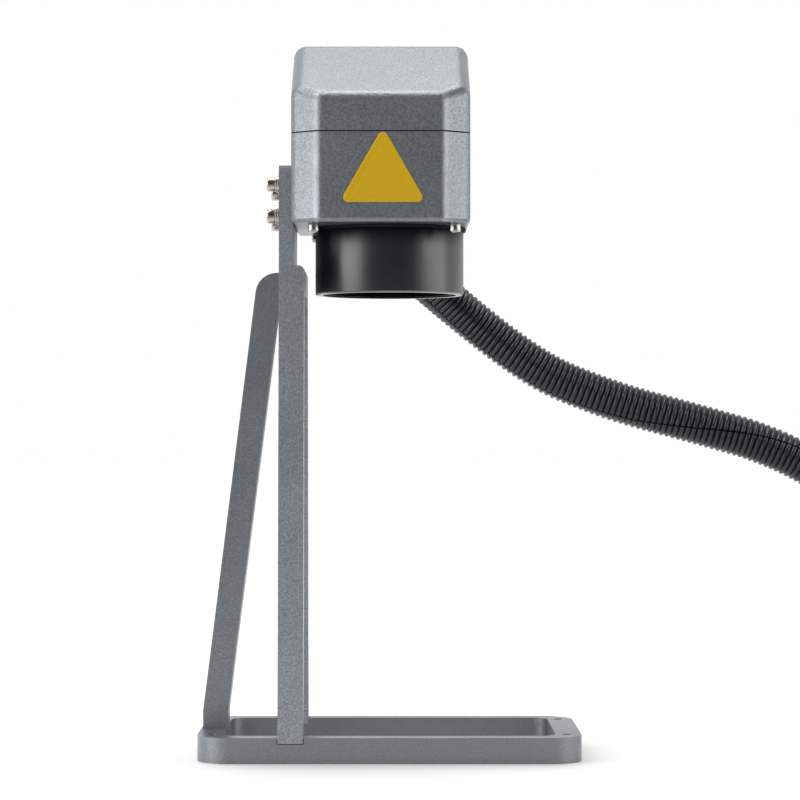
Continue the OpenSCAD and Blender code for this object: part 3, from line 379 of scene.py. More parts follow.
def hose_finish(name):
    """Black conduit plastic: the slit's attribute darkens it, fine scuffs vary its gloss."""
    material, tree, shader = new_material(name)
    scuff = noise(tree, 260.0, 4.0, 0.65)
    slit = tree.nodes.new("ShaderNodeAttribute")
    slit.attribute_name = "slit"
    skin = colours(tree, scuff, (0.007, 0.0095, 0.015), (0.015, 0.0185, 0.026))
    tree.links.new(
        mixed(tree, slit.outputs["Fac"], skin, (0.002, 0.002, 0.0022)),
        shader.inputs["Base Color"],
    )
    tree.links.new(spread(tree, scuff, 0.24, 0.4), shader.inputs["Roughness"])
    relief(tree, shader, scuff, 0.02)
    return material


def coordinates(tree):
    """The three object coordinates as sockets."""
    place = tree.nodes.new("ShaderNodeTexCoord")
    split = tree.nodes.new("ShaderNodeSeparateXYZ")
    tree.links.new(place.outputs["Object"], split.inputs[0])
    return split.outputs


def step(tree, socket, first, last):
    """From 0 to 1 as the socket's value goes from first to last, in millimetres."""
    made = tree.nodes.new("ShaderNodeMapRange")
    made.interpolation_type = "SMOOTHSTEP"
    made.inputs["From Min"].default_value = first * MM
    made.inputs["From Max"].default_value = last * MM
    tree.links.new(socket, made.inputs["Value"])
    return made.outputs["Result"]


def join(tree, operation, a, b):
    """Two sockets joined by a Math node."""
    made = tree.nodes.new("ShaderNodeMath")
    made.operation = operation
    tree.links.new(a, made.inputs[0])
    tree.links.new(b, made.inputs[1])
    return made.outputs[0]


def patchy(tree, painted_light_mask):
    """Painted highlights broken up by slow noise, so that they are patchy."""
    return join(tree, "MULTIPLY", painted_light_mask, spread(tree, noise(tree, 90.0, 3.0, 0.6), 0.35, 1.0))


def head_ridge_painted_highlights(tree):
    """How much painted highlight a point of the head takes: full on the two upright edges between the
    front and its facets, and nothing a few millimetres away."""
    low, high = box_mm("upper_shell")
    x, y = (coordinates(tree)[axis] for axis in "XY")
    left, right = low[0] + facet_w, high[0] - facet_w
    bands = [
        join(tree, "MINIMUM", step(tree, x, middle - out * 4.5, middle - out * 1.5),
             step(tree, x, middle + out * 1.2, middle - out * 0.2))
        for middle, out in ((left, 1), (right, -1))
    ]
    front = step(tree, y, low[1] + 5, low[1] + 3)
    return patchy(tree, join(tree, "MINIMUM", join(tree, "MAXIMUM", *bands), front))


def plate_top_painted_highlight(tree):
    """A painted highlight along the top edge of the upright's head plate."""
    top = box_mm("upright_frame")[1][2]
    return patchy(tree, step(tree, coordinates(tree)["Z"], top - 2.4, top - 1.2))


def barrel_overhang_painted_shade(tree):
    """Painted shade on the barrel's gloss: its specular level is cut where the head overhangs it, and
    full from 13 mm below that.
    """
    top = box_mm("lens_mount_ring")[0][2]
    return step(tree, coordinates(tree)["Z"], top + 1, top - 13)


# Width and depth of the facets beside the head's front
facet_w, facet_d = 16.5, 12.0

BLASTED_GREY = (0.262, 0.281, 0.3)
WARM_STEEL = (0.525, 0.488, 0.45)
BLASTED = {"metallic": 0.6, "roughness": 0.33, "grain": 880, "grain_mm": 0.3, "contrast": 0.3}
SMOOTHER = {**BLASTED, "grain": 1150, "grain_mm": 0.2, "contrast": 0.2}

# Painted light: the stand's copy of the grey is painted 3% darker and the upright's 1.5 times paler
stand_metal = finish("blasted_grey_metal_stand", shade(BLASTED_GREY, 0.97), **SMOOTHER)
upright_metal_painted_light = finish("blasted_grey_metal_upright_painted_light", shade(BLASTED_GREY, 1.5), **BLASTED,
                       painted_highlights=plate_top_painted_highlight)
brace_metal = finish("blasted_grey_metal_brace", BLASTED_GREY, **SMOOTHER)
head_metal = finish("blasted_grey_metal_head", BLASTED_GREY, **BLASTED, painted_highlights=head_ridge_painted_highlights)
black_metal = finish("black_satin_metal", (0.006, 0.007, 0.01), 0.0, 0.34, grain=1500,
                     grain_mm=0.02, painted_gloss_shade=barrel_overhang_painted_shade)
ring_black = finish("black_ring_metal", (0.018, 0.024, 0.033), 0.0, 0.6, grain=1500,
                    grain_mm=0.006, specular=0.03)
inner_black = finish("black_matt_metal", (0.003, 0.003, 0.004), 0.0, 0.6, grain=1500,
                     grain_mm=0.006, specular=0.04)
lip_metal = finish("bare_turned_lip", (0.26, 0.257, 0.257), 1.0, 0.3, grain=900, grain_mm=0.004)
ring_metal = finish("clear_satin_metal", (0.5, 0.51, 0.53), 0.9, 0.3, grain=1200, grain_mm=0.004)
screw_steel = finish("warm_screw_steel", WARM_STEEL, 1.0, 0.2, grain=700, grain_mm=0.004)
bare_metal = finish("milled_bare_metal", (0.55, 0.56, 0.58), 0.95, 0.32, grain=500,
                    grain_mm=0.006, stretch=(1, 1, 8))
magnet_steel = finish("ground_shaft_steel", (0.45, 0.46, 0.48), 1.0, 0.22, grain=900,
                      grain_mm=0.002)
rubber = finish("black_rubber", (0.012, 0.012, 0.012), 0.0, 0.75, grain=1200, grain_mm=0.02)
moulded_black = finish("moulded_black_plastic", (0.016, 0.017, 0.019), 0.0, 0.42, grain=1500,
                       grain_mm=0.012)
lead_jacket = finish("black_lead_jacket", (0.014, 0.014, 0.015), 0.0, 0.5, grain=800,
                     grain_mm=0.01)
fibre_jacket = finish("yellow_fibre_jacket", (0.62, 0.42, 0.04), 0.0, 0.4, grain=800,
                      grain_mm=0.005)
parts_plastic = finish("black_component_plastic", (0.02, 0.02, 0.022), 0.0, 0.55, grain=900,
                       grain_mm=0.01)
brass = finish("turned_brass", (0.62, 0.44, 0.16), 1.0, 0.28, grain=700, grain_mm=0.004)
mirror_coat = finish("mirror_coating", (0.9, 0.9, 0.91), 1.0, 0.05, vary=0.01, grain=300,
                     grain_mm=0.0005, contrast=0.02)
badge_yellow = finish("badge_yellow", (0.74, 0.45, 0.002), 0.0, 0.45, grain=900, grain_mm=0.01,
                      contrast=0.06, coat=0.1, specular=0.3)
clear_glass = glass_finish("coated_glass", (0.9, 0.97, 0.96))
board_green = board_finish("circuit_board")
hose_plastic = hose_finish("black_conduit_plastic")


# Hose

HOSE_ROUTE = [
    [-26, 86.2, 345], [-26, 100, 345], [-26, 115, 345], [-22.5, 145.5, 340.5],
    [-13.5, 173.5, 332.5], [0, 198, 320], [17.5, 217, 305], [39, 230, 287], [62, 237, 268.5],
    [86.5, 239, 250], [112, 240, 234], [140, 240, 222], [168, 240, 212.5],
    [197, 240, 204.5], [226, 240, 196.5],
    [254, 240, 188], [281, 240, 176.5], [307, 240, 161.5], [331, 240, 143], [353, 240, 121.5],
    [374, 240, 99], [396, 240, 76.5], [420, 240, 55.5], [447, 240, 37], [477, 240, 23],
    [506, 240, 15.5], [535, 240, 14.5],
]
hose_diameter = 28.5
hose_trough = 25.4
rib_pitch = 4.1
# Height of a rib over the trough, at even steps along one pitch
RIB_SHAPE = [0.0, 0.4, 0.9, 1.0, 0.9, 0.4]
hose_sides = 21
slit_half_width = 0.6
slit_depth = 1.4
# Angle from a lip of the slit to the first of the even sides, in radians
slit_shoulder = 0.16

coil_radius = 165
coil_step = 29.5
coil_layer = 32
coil_climb_from = 1
coil_climb_turns = 0.5
coil_turns = 2

# Points of the curve for each stretch of the route, and for the coil
route_steps = 12
coil_steps = 400


def smooth_route(route, steps):
    """Catmull-Rom curve through the route: each stretch is the cubic whose slopes at its ends are
    half the chord between the neighbouring points."""
    p = np.asarray(route, float)
    p = np.concatenate([[2 * p[0] - p[1]], p, [2 * p[-1] - p[-2]]])
    t = (np.arange(steps) / steps)[None, :, None]
    a, b, c, d = (p[i:len(p) - 3 + i, None, :] for i in range(4))
    curve = 0.5 * (
        2 * b + (c - a) * t + (2 * a - 5 * b + 4 * c - d) * t**2 + (3 * b - a - 3 * c + d) * t**3
    )
    return np.concatenate([curve.reshape(-1, 3), p[-2:-1]])


def coil_line(steps):
    """Middle line of the coil: a spiral that runs in by one step a turn, turns round in the half turn
    in which it climbs a layer by a smooth step, and runs out again at the same rate."""
    end = np.array(HOSE_ROUTE[-1], float)
    middle = end + [hose_diameter, -coil_radius, 0]
    t = np.linspace(0, coil_turns, steps)
    u = np.clip((t - coil_climb_from) / coil_climb_turns, 0, 1)
    inward = np.where(
        t <= coil_climb_from, t,
        np.where(u < 1, coil_climb_from + coil_climb_turns * (u - u * u),
                 2 * coil_climb_from + coil_climb_turns - t),
    )
    radius = coil_radius - coil_step * inward
    angle = math.pi / 2 - 2 * math.pi * t
    line = np.stack([
        middle[0] + radius * np.cos(angle),
        middle[1] + radius * np.sin(angle),
        end[2] + coil_layer * u * u * (3 - 2 * u),
    ], 1)
    return np.concatenate([line, [line[-1] + [hose_diameter, 0, 0]]])


def even_line(line, count):
    """The line as count points at even running lengths, with its whole length."""
    run = np.concatenate([[0], np.cumsum(np.linalg.norm(np.diff(line, axis=0), axis=1))])
    at = np.linspace(0, run[-1], count)
    return np.stack([np.interp(at, run, line[:, k]) for k in range(3)], 1), run[-1]


def slit_angle(run):
    """Angle of the slit round the hose at a running length, from the side that faces the camera: it
    turns smoothly from well below to well above, as an S-curve of tanh."""
    middle_run, reach, turn, offset = 392.0, 80.0, 60.0, -4.5
    return np.radians(offset + turn * np.tanh((run - middle_run) / reach))


def make_hose():
    """The whole conduit as one tube: rings along the middle line whose radius follows the ribs, each
    with a narrow slit pressed in at the slit's angle. Returns the piece, its line and its length."""
    line = np.concatenate([smooth_route(HOSE_ROUTE, route_steps), coil_line(coil_steps)])
    length = even_line(line, 10)[1]
    ribs = int(length / rib_pitch)
    rings = ribs * len(RIB_SHAPE) + 1
    middle, length = even_line(line, rings)
    along = np.gradient(middle, axis=0)
    along /= np.linalg.norm(along, axis=1)[:, None]
    side = np.cross(along, [0, 0, 1])
    side /= np.linalg.norm(side, axis=1)[:, None]
    up = np.cross(side, along)
    run = np.linspace(0, length, rings)
    shape = np.tile(RIB_SHAPE, ribs + 1)[:rings]
    radius = hose_trough / 2 + (hose_diameter - hose_trough) / 2 * shape
    lip = slit_half_width / (hose_diameter / 2)
    start = lip + slit_shoulder
    regular = np.linspace(start, 2 * math.pi - start, hose_sides)
    turn = np.concatenate([[0, lip], regular, [2 * math.pi - lip]])
    depth = np.zeros(len(turn))
    depth[0] = slit_depth
    angle = slit_angle(run)[:, None] + turn[None, :]
    reach = radius[:, None] - depth[None, :]
    points = (
        middle[:, None, :]
        + (reach * np.cos(angle))[..., None] * side[:, None, :]
        + (reach * np.sin(angle))[..., None] * up[:, None, :]
    ).reshape(-1, 3)
    piece = add_piece("hose", points, tube_faces(rings, len(turn)), None, "hose_plastic",
                      hose_plastic, ("hose_run", "hose_coil"), sharp=60)
    dark = piece.data.attributes.new("slit", "FLOAT", "POINT")
    dark.data.foreach_set("value", np.tile(depth > 0, rings).astype(np.float32))
    return piece, middle, length


make_camera()
hose, hose_middle, hose_length = make_hose()
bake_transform(hose)


# Turned pieces


def socket_screws(name, places, axis, d, head_d, head_h, length, body, slot, material, node,
                  knurls=36):
    """Socket head screws: a knurled head with a broken top edge and a hexagonal recess, and a
    shank, all as one turned grid. The axis points from the head's top to the screw's tip."""
    socket = hexagon(0.8 * d)

    def knurl(share):
        """Radius of the knurled side: a fine wave round the head."""
        return lambda angle: share * head_d / 2 - 0.012 * head_d * (
            0.5 + 0.5 * np.cos(knurls * angle))

    rows = [
        (0, -head_h * 0.45), (socket, -head_h * 0.45), (socket, -head_h + 0.25),
        (lambda a: socket(a) + 0.2, -head_h), (head_d * 0.42, -head_h),
        (head_d * 0.465, -head_h * 0.965), (head_d * 0.485, -head_h * 0.88), (knurl(1), -head_h * 0.84),
        (knurl(1), -head_h * 0.12), (head_d * 0.485, -head_h * 0.07), (head_d * 0.47, 0),
        (d / 2, 0), (d / 2, length - 0.6), (d * 0.4, length), (0, length),
    ]
    parts = [turned(rows, place, axis, segments=144, closed=False) for place in places]
    return add_piece(name, *together(parts), body, slot, material, (node,), sharp=28)


def ring_rows(inner, outer, low, high, edge):
    """Closed section of a ring with rounded edges."""
    return fillet([(inner, low), (outer, low), (outer, high), (inner, high)], edge, 3)


# Distance between the bracket's four screws both ways, and diameters of the screws used
slot_spacing = 65.0
bracket_screw_d = 5.0
shell_screw_d = 4.0
shell_screw_head_h = 5.2
# Play of a washer on its screw
washer_play = 0.15


def make_screws():
    """The bracket's screws with their two kinds of washer, and the screws under the shell."""
    low, high = box_mm("bracket_screws")
    washer_low, washer_high = box_mm("flat_washers")
    spring_low, spring_high = box_mm("spring_washers")
    d = bracket_screw_d
    head_d = high[1] - low[1] - slot_spacing
    middle = (low[1] + high[1]) / 2
    ys = (middle - slot_spacing / 2, middle + slot_spacing / 2)
    zs = (low[2] + head_d / 2, high[2] - head_d / 2)
    seat = spring_low[0]
    spots = [(y, z) for y in ys for z in zs]
    socket_screws("bracket_screw_set", [(seat, y, z) for y, z in spots], "+X", d, head_d,
                  seat - low[0], high[0] - seat, "head", "screw_steel", screw_steel,
                  "bracket_screws")
    inner = d / 2 + washer_play
    outer = (washer_high[1] - washer_low[1] - slot_spacing) / 2
    rows = ring_rows(inner, outer, 0, washer_high[0] - washer_low[0], 0.18)
    parts = [turned(rows, (washer_low[0], y, z), "+X") for y, z in spots]
    add_piece("flat_washer_set", *together(parts), "head", "screw_steel", screw_steel,
              ("flat_washers",))
    parts = [spring_washer((spring_low[0], y, z), inner, head_d / 2 + 0.3,
                           spring_high[0] - spring_low[0]) for y, z in spots]
    add_piece("spring_washer_set", *together(parts), "head", "screw_steel", screw_steel,
              ("spring_washers",), sharp=30)
    low, high = box_mm("shell_screws")
    head_h = shell_screw_head_h
    head_d = 1.7 * shell_screw_d
    xs = (low[0] + head_d / 2, high[0] - head_d / 2)
    ys = (low[1] + head_d / 2, high[1] - head_d / 2)
    places = [(x, y, low[2] + head_h) for x in xs for y in ys]
    socket_screws("shell_screw_set", places, "+Z", shell_screw_d, head_d, head_h,
                  high[2] - low[2] - head_h, "head", "screw_steel", screw_steel, "shell_screws")


def spring_washer(place, inner, outer, thick):
    """A split ring along +X: a rounded rectangle carried round an arc that stops short of closing,
    its ends offset along the axis as the spring's helix leaves them."""
    gap = math.radians(9)
    steps = 72
    wire = thick * 0.86
    section = fillet([(inner, 0), (outer, 0), (outer, wire), (inner, wire)], 0.22, 3)
    turn = np.linspace(math.pi / 2 + gap, math.pi * 2.5 - gap, steps)
    rise = (thick - wire) * np.linspace(0, 1, steps)
    y = section[None, :, 0] * np.cos(turn)[:, None]
    z = section[None, :, 0] * np.sin(turn)[:, None]
    x = section[None, :, 1] + rise[:, None]
    points = (np.stack([x, y, z], -1) + np.asarray(place, float)).reshape(-1, 3)
    return points, tube_faces(steps, len(section))


# Radii of the barrel's wall, mouth, bore, neck and throat, and height of its bare turned lip
barrel_r, mouth_r, bore_r, neck_r, throat_r = 45.0, 40.0, 38.0, 41.5, 21.0
lip_mm = 0.75


def make_lens():
    """The barrel with its bare lip and matt inside, the ring between it and the head, and the ring
    that holds the window."""
    low, high = box_mm("lens_barrel")
    bottom, neck_top = low[2], high[2]
    ring_low = box_mm("lens_mount_ring")[0][2]
    window_low = box_mm("protective_window")[0][2]
    rows = fillet(
        [
            (mouth_r, window_low), (mouth_r, bottom + 0.9), (mouth_r + 0.7, bottom),
            (barrel_r - lip_mm, bottom), (barrel_r, bottom + lip_mm), (barrel_r, ring_low - 0.2),
            (barrel_r - 0.2, ring_low), (neck_r, ring_low), (neck_r, neck_top),
            (throat_r, neck_top), (throat_r, neck_top - 4.0), (bore_r, neck_top - 4.0),
            (bore_r, window_low + 3.0), (mouth_r, window_low + 3.0),
        ], [0, 0, 0.2, 0.1, 0.15, 0.2, 0.2, 0, 0.3, 0.3, 0, 0, 0, 0], 3)
    barrel = add_piece("lens_barrel_turned", *turned(rows, (0, 0, 0), segments=192), "head",
                       "black_metal", black_metal, ("lens_barrel",), sharp=25)
    inside_r = mouth_r + 0.4
    paint(barrel, inner_black, lambda p: np.hypot(p[:, 0], p[:, 1]) < inside_r)
    paint(barrel, lip_metal, lambda p: (p[:, 2] < bottom + lip_mm)
          & (np.hypot(p[:, 0], p[:, 1]) > inside_r))
    low, high = box_mm("lens_mount_ring")
    inner, flange, flange_top = neck_r + 0.1, 46.5, low[2] + 2.0
    rows = fillet(
        [(inner, low[2]), (flange, low[2]), (flange, flange_top), (43.1, flange_top),
         (43.1, high[2]), (inner, high[2])], [0.2, 0.4, 0.3, 0, 0.2, 0.2], 3)
    add_piece("lens_mount_ring_turned", *turned(rows, (0, 0, 0), segments=192), "head",
              "ring_metal", ring_black, ("lens_mount_ring",), sharp=25)
    low, high = box_mm("window_ring")
    rows = ring_rows(36.0, mouth_r - 0.1, low[2], high[2], 0.25)
    add_piece("window_ring_turned", *turned(rows, (0, 0, 0), segments=192), "head",
              "black_metal", inner_black, ("window_ring",), sharp=25)


def make_badge():
    """Blank plate: a triangle with rounded corners whose edge is broken all round, as rows of one
    outline that shrink towards the face."""
    low, high = box_mm("badge_plate")
    side, corner = 51.0, 3.0
    middle = (low[0] + high[0]) / 2
    base = low[2]
    height = side * math.sin(math.radians(60))
    seat, face = high[1], low[1]

    def outline(inset):
        """The triangle moved in by inset on every side."""
        half = side / 2 - inset * math.sqrt(3)
        top = height - 2 * inset
        return fillet([(middle - half, base + inset), (middle + half, base + inset),
                       (middle, base + top)], max(corner - inset, 0.5), 10)

    # Distance in from the edge and share of the thickness, from the seat to the face
    layers = [(0, 0), (0, 0.55), (0.12, 0.85), (0.3, 1.0), (2.2, 1.0), (2.35, 0.9), (2.7, 0.9)]
    rings = []
    for inset, share in layers:
        flat = outline(inset)
        y = np.full(len(flat), seat + (face - seat) * share)
        rings.append(np.stack([flat[:, 0], y, flat[:, 1]], 1))
    add_piece("badge_blank", np.concatenate(rings), tube_faces(len(rings), len(rings[0])),
              "head", "badge", badge_yellow, ("badge_plate",), sharp=50)


# Widths over flats of the gland's nut and of the end fitting
nut_flats, fitting_flats = 35.0, 33.0
# Pitch and number of the end fitting's thread turns
thread_pitch, thread_turns = 1.5, 11


def corner_radius(flats):
    """Radius to a hexagon's corner, from its width over flats."""
    return flats / 2 / math.cos(math.pi / 6)


def make_gland():
    """Clamping nut and end fitting, with chamfered hexagons, a thread and six pins. Returns the end
    fitting."""

    def chamfered(reach, full):
        """Hexagon cut by a cone, as a nut's turned corners are."""
        return lambda a: np.minimum(full(a), reach)

    low, high = box_mm("gland_nut")
    middle = (low + high) / 2
    flats = hexagon(nut_flats)
    corner = corner_radius(nut_flats)
    end = high[1] - low[1]
    rows = [
        (14.1, 0), (chamfered(17.4, flats), 0), (chamfered(corner - 0.9, flats), 0.9),
        (chamfered(corner, flats), 2.2), (chamfered(corner, flats), 9.5),
        (chamfered(corner - 0.8, flats), 10.4), (17.2, 11.2), (16.6, 13.6), (15.4, 14.7),
        (14.4, end), (11.0, end), (11.0, end - 4.0), (14.1, end - 4.0),
    ]
    add_piece("gland_nut_moulded", *turned(rows, (middle[0], low[1], middle[2]), "+Y", 180),
              "head", "gland_plastic", moulded_black, ("gland_nut",), sharp=28)
    low, high = box_mm("hose_end_fitting")
    place = np.array([low[0], (low[1] + high[1]) / 2, (low[2] + high[2]) / 2])
    straight = hexagon(fitting_flats)

    def level(angle):
        """The hexagon turned by half a side, so that its flats face up and down."""
        return straight(angle + math.pi / 6)

    corner = corner_radius(fitting_flats)
    rows = [
        (0, 0), (14.6, 0), (15.6, 0.6), (16.4, 2.0), (chamfered(corner - 0.9, level), 2.4),
        (chamfered(corner, level), 3.4), (chamfered(corner, level), 12.6),
        (chamfered(corner - 0.9, level), 13.6), (14.8, 14.0), (14.8, 14.6), (15.5, 14.7),
        (15.5, 19.6), (15.2, 20.0), (11.7, 20.0), (11.7, 21.0),
    ]
    for i in range(thread_turns):
        base = 21.2 + i * thread_pitch
        rows += [(12.5, base + 0.35), (12.5, base + 0.55), (11.75, base + 1.0),
                 (11.75, base + 1.15)]
    rows += [(12.2, 39.0), (11.7, 40.0), (11.0, 40.0), (11.0, 34.0), (0, 34.0)]
    pins = [turned([(0, 33.5), (0.75, 33.5), (0.75, 38.2), (0.45, 39.0), (0, 39.0)],
                   place + [0, 7 * math.cos(a), 7 * math.sin(a)], "+X", 24, closed=False)
            for a in np.arange(6) * math.pi / 3]
    return add_piece("hose_end_fitting_turned",
                     *together([turned(rows, place, "+X", 180, closed=False), *pins]), "stand",
                     "gland_plastic", moulded_black, ("hose_end_fitting",), sharp=28)


def nearest_inside(points, normals, limits, rounds=60):
    """The point of a convex body nearest to each given point, by alternating projections: a point
    is moved onto each plane that it lies outside of, and each plane's last move is given back before
    its next turn."""
    place = points.copy()
    moves = np.zeros((len(normals),) + place.shape)
    for _ in range(rounds):
        for i, (normal, limit) in enumerate(zip(normals, limits)):
            place = place + moves[i]
            moves[i] = np.maximum(place @ normal - limit, 0)[:, None] * normal
            place = place - moves[i]
    return place


def bucket_directions(across, deep, high):
    """Directions from the middle of a box's base to even grids over its four sides and its top, with
    the quads of each grid: the rows of a side run up from the rim."""
    x, y, z = np.linspace(-1, 1, across), np.linspace(-1, 1, deep), np.linspace(0, 1, high)
    sides = []
    for values, place in (
        (x, lambda t: (t, -np.ones_like(t))), (y, lambda t: (np.ones_like(t), t)),
        (-x, lambda t: (t, np.ones_like(t))), (-y, lambda t: (-np.ones_like(t), t)),
    ):
        px, py = place(np.tile(values, high))
        sides.append((np.stack([px, py, np.repeat(z, len(values))], 1), high, len(values)))
    px, py = np.meshgrid(x, y)
    sides.append((np.stack([px.ravel(), py.ravel(), np.ones(px.size)], 1), deep, across))
    points, faces, count = [], [], 0
    for grid, rows, columns in sides:
        r, c = np.arange(rows - 1)[:, None], np.arange(columns - 1)[None, :]
        first = count + r * columns + c
        quads = np.stack([first, first + 1, first + columns + 1, first + columns], -1)
        faces.extend(quads.reshape(-1, 4).tolist())
        points.append(grid)
        count += len(grid)
    rims, count = [], 0
    for grid, rows, columns in sides[:4]:
        rims.extend([[count + k, count + k + 1] for k in range(columns - 1)])
        count += len(grid)
    return np.concatenate(points), faces, rims


def make_upper_shell():
    """The upper shell as a hollow cover: the flat walls, facets, slope and top of the CAD node, with
    every outer edge rolled over. A point of the sharp form goes to the surface of a ball round the
    nearest point of the same form moved inwards by the ball's radius."""
    low, high = box_mm("upper_shell")
    front_wall, slope_run, wall = 21.2, 66.0, 4.0
    roll = 8.0
    diagonal = math.hypot(facet_w, facet_d)
    slope = math.hypot(slope_run, high[2] - low[2] - front_wall)
    planes = [
        ((-1, 0, 0), low), ((1, 0, 0), high), ((0, -1, 0), low), ((0, 1, 0), high),
        ((0, 0, 1), high),
        ((-facet_d / diagonal, -facet_w / diagonal, 0), (low[0] + facet_w, low[1], 0)),
        ((facet_d / diagonal, -facet_w / diagonal, 0), (high[0] - facet_w, low[1], 0)),
        ((0, -(high[2] - low[2] - front_wall) / slope, slope_run / slope),
         (0, low[1], low[2] + front_wall)),
    ]
    normals = np.array([n for n, p in planes], float)
    limits = np.array([np.dot(n, p) for n, p in planes])
    centre = np.array([(low[0] + high[0]) / 2, (low[1] + high[1]) / 2, low[2]])
    half = (high - low) / 2
    directions, faces, rims = bucket_directions(96, 110, 52)
    directions = directions * [half[0], half[1], high[2] - low[2]]
    slant = directions @ normals.T
    with np.errstate(divide="ignore"):
        reach = np.where(slant > 1e-9, 1 / np.maximum(slant, 1e-9), np.inf)
    outer = centre + directions * (reach * (limits - normals @ centre)).min(1)[:, None]
    core = nearest_inside(outer, normals, limits - roll)
    away = outer - core
    outer = core + away * (roll / np.linalg.norm(away, axis=1))[:, None]
    inner = centre + directions * (reach * (limits - wall - normals @ centre)).min(1)[:, None]
    count = len(outer)
    faces = faces + [[i + count for i in reversed(face)] for face in faces]
    faces += [[a, b, b + count, a + count] for a, b in rims]
    screw_low, screw_high = box_mm("shell_screws")
    head_r, column_r = 3.4, 5.4
    posts = [
        turned([(2.1, low[2]), (column_r, low[2]), (column_r, low[2] + 13), (2.1, low[2] + 13)],
               (x, y, 0), segments=48)
        for x in (screw_low[0] + head_r, screw_high[0] - head_r)
        for y in (screw_low[1] + head_r, screw_high[1] - head_r)
    ]
    points, faces = together([(np.concatenate([outer, inner]), faces), *posts])
    add_piece("upper_shell_rolled", points, faces, "head", "head_paint", head_metal,
              ("upper_shell",), sharp=40)


def make_painted_gap_shadows():
    """Painted shadows where the upright's feet stand in the ring: a dark U-shaped strip round each
    foot, a hair proud of the ring's front and rear faces, in place of the shade in the pockets' play."""
    foot_low, foot_high = box_mm("upright_frame")
    ring_low, ring_high = box_mm("base_ring")
    wide, proud, deep = 0.45, 0.05, 0.6
    left, right, bottom, top = foot_low[0], foot_high[0], foot_low[2], ring_high[2] - 0.7
    outline = np.array([
        (left - wide, top), (left - wide, bottom - wide), (right + wide, bottom - wide),
        (right + wide, top), (right, top), (right, bottom), (left, bottom), (left, top),
    ])
    parts = []
    for face, out in ((ring_low[1], -1), (ring_high[1], 1)):
        layers = [
            np.stack([outline[:, 0], np.full(len(outline), y), outline[:, 1]], 1)
            for y in (face + out * proud, face - out * deep)
        ]
        faces = grid_faces(2, len(outline))
        # The strip's two ends, as quads: left arm, floor and right arm of the U
        for k in (0, len(outline)):
            faces += [[k, k + 1, k + 6, k + 7], [k + 1, k + 2, k + 5, k + 6],
                      [k + 2, k + 3, k + 4, k + 5]]
        parts.append((np.concatenate(layers), faces))
    add_piece("foot_gap_painted_shadows", *together(parts), "stand", "rubber", rubber, sharp=30)


def make_plates():
    """The milled plates and the shells, each with its edges broken."""
    bevelled("base_ring", 0.7, "stand", stand_metal)
    bevelled("upright_frame", 1.0, "stand", upright_metal_painted_light)
    bevelled("brace", 1.1, "stand", brace_metal)
    bevelled("lower_shell", 0.35, "head", head_metal)
    make_upper_shell()


def plain_materials():
    """Finishes of the CAD nodes that keep their own shape."""
    by_slot = {
        "stand_paint": stand_metal, "head_paint": head_metal, "screw_steel": screw_steel,
        "badge": badge_yellow, "black_metal": black_metal, "ring_metal": ring_metal,
        "glass": clear_glass, "mirror": mirror_coat, "bare_metal": bare_metal,
        "magnet_steel": magnet_steel, "rubber": rubber, "hose_plastic": hose_plastic,
        "gland_plastic": moulded_black, "lead": lead_jacket, "fibre": fibre_jacket,
        "board": board_green, "parts": parts_plastic, "brass": brass,
    }
    for entry in frame["record"]["subparts"]:
        piece = nodes[entry["node"]]
        if piece.hide_render:
            continue
        piece.data.materials.clear()
        piece.data.materials.append(by_slot[entry["material_slot"]])


# Stage and light


floor_albedo = 0.55
# Half the floor's side, in metres
floor_reach = 14.0
# What the floor gives the camera near the object, and where it rises to white, as the middle and
# half the width of the distance from the origin
floor_lift = 0.74
floor_fade = (0.7, 0.35)
# Where along Y metal begins to see the floor's white, as the middle and half the width
mirrored_from = (-0.45, 0.3)
# Painted floor shadow: its occlusion's normal, reach, and open share as middle and half width
shade_from = (-0.22, 0.97, 0.12)
shade_reach = 0.2
shade_middle = (0.65, 0.36)


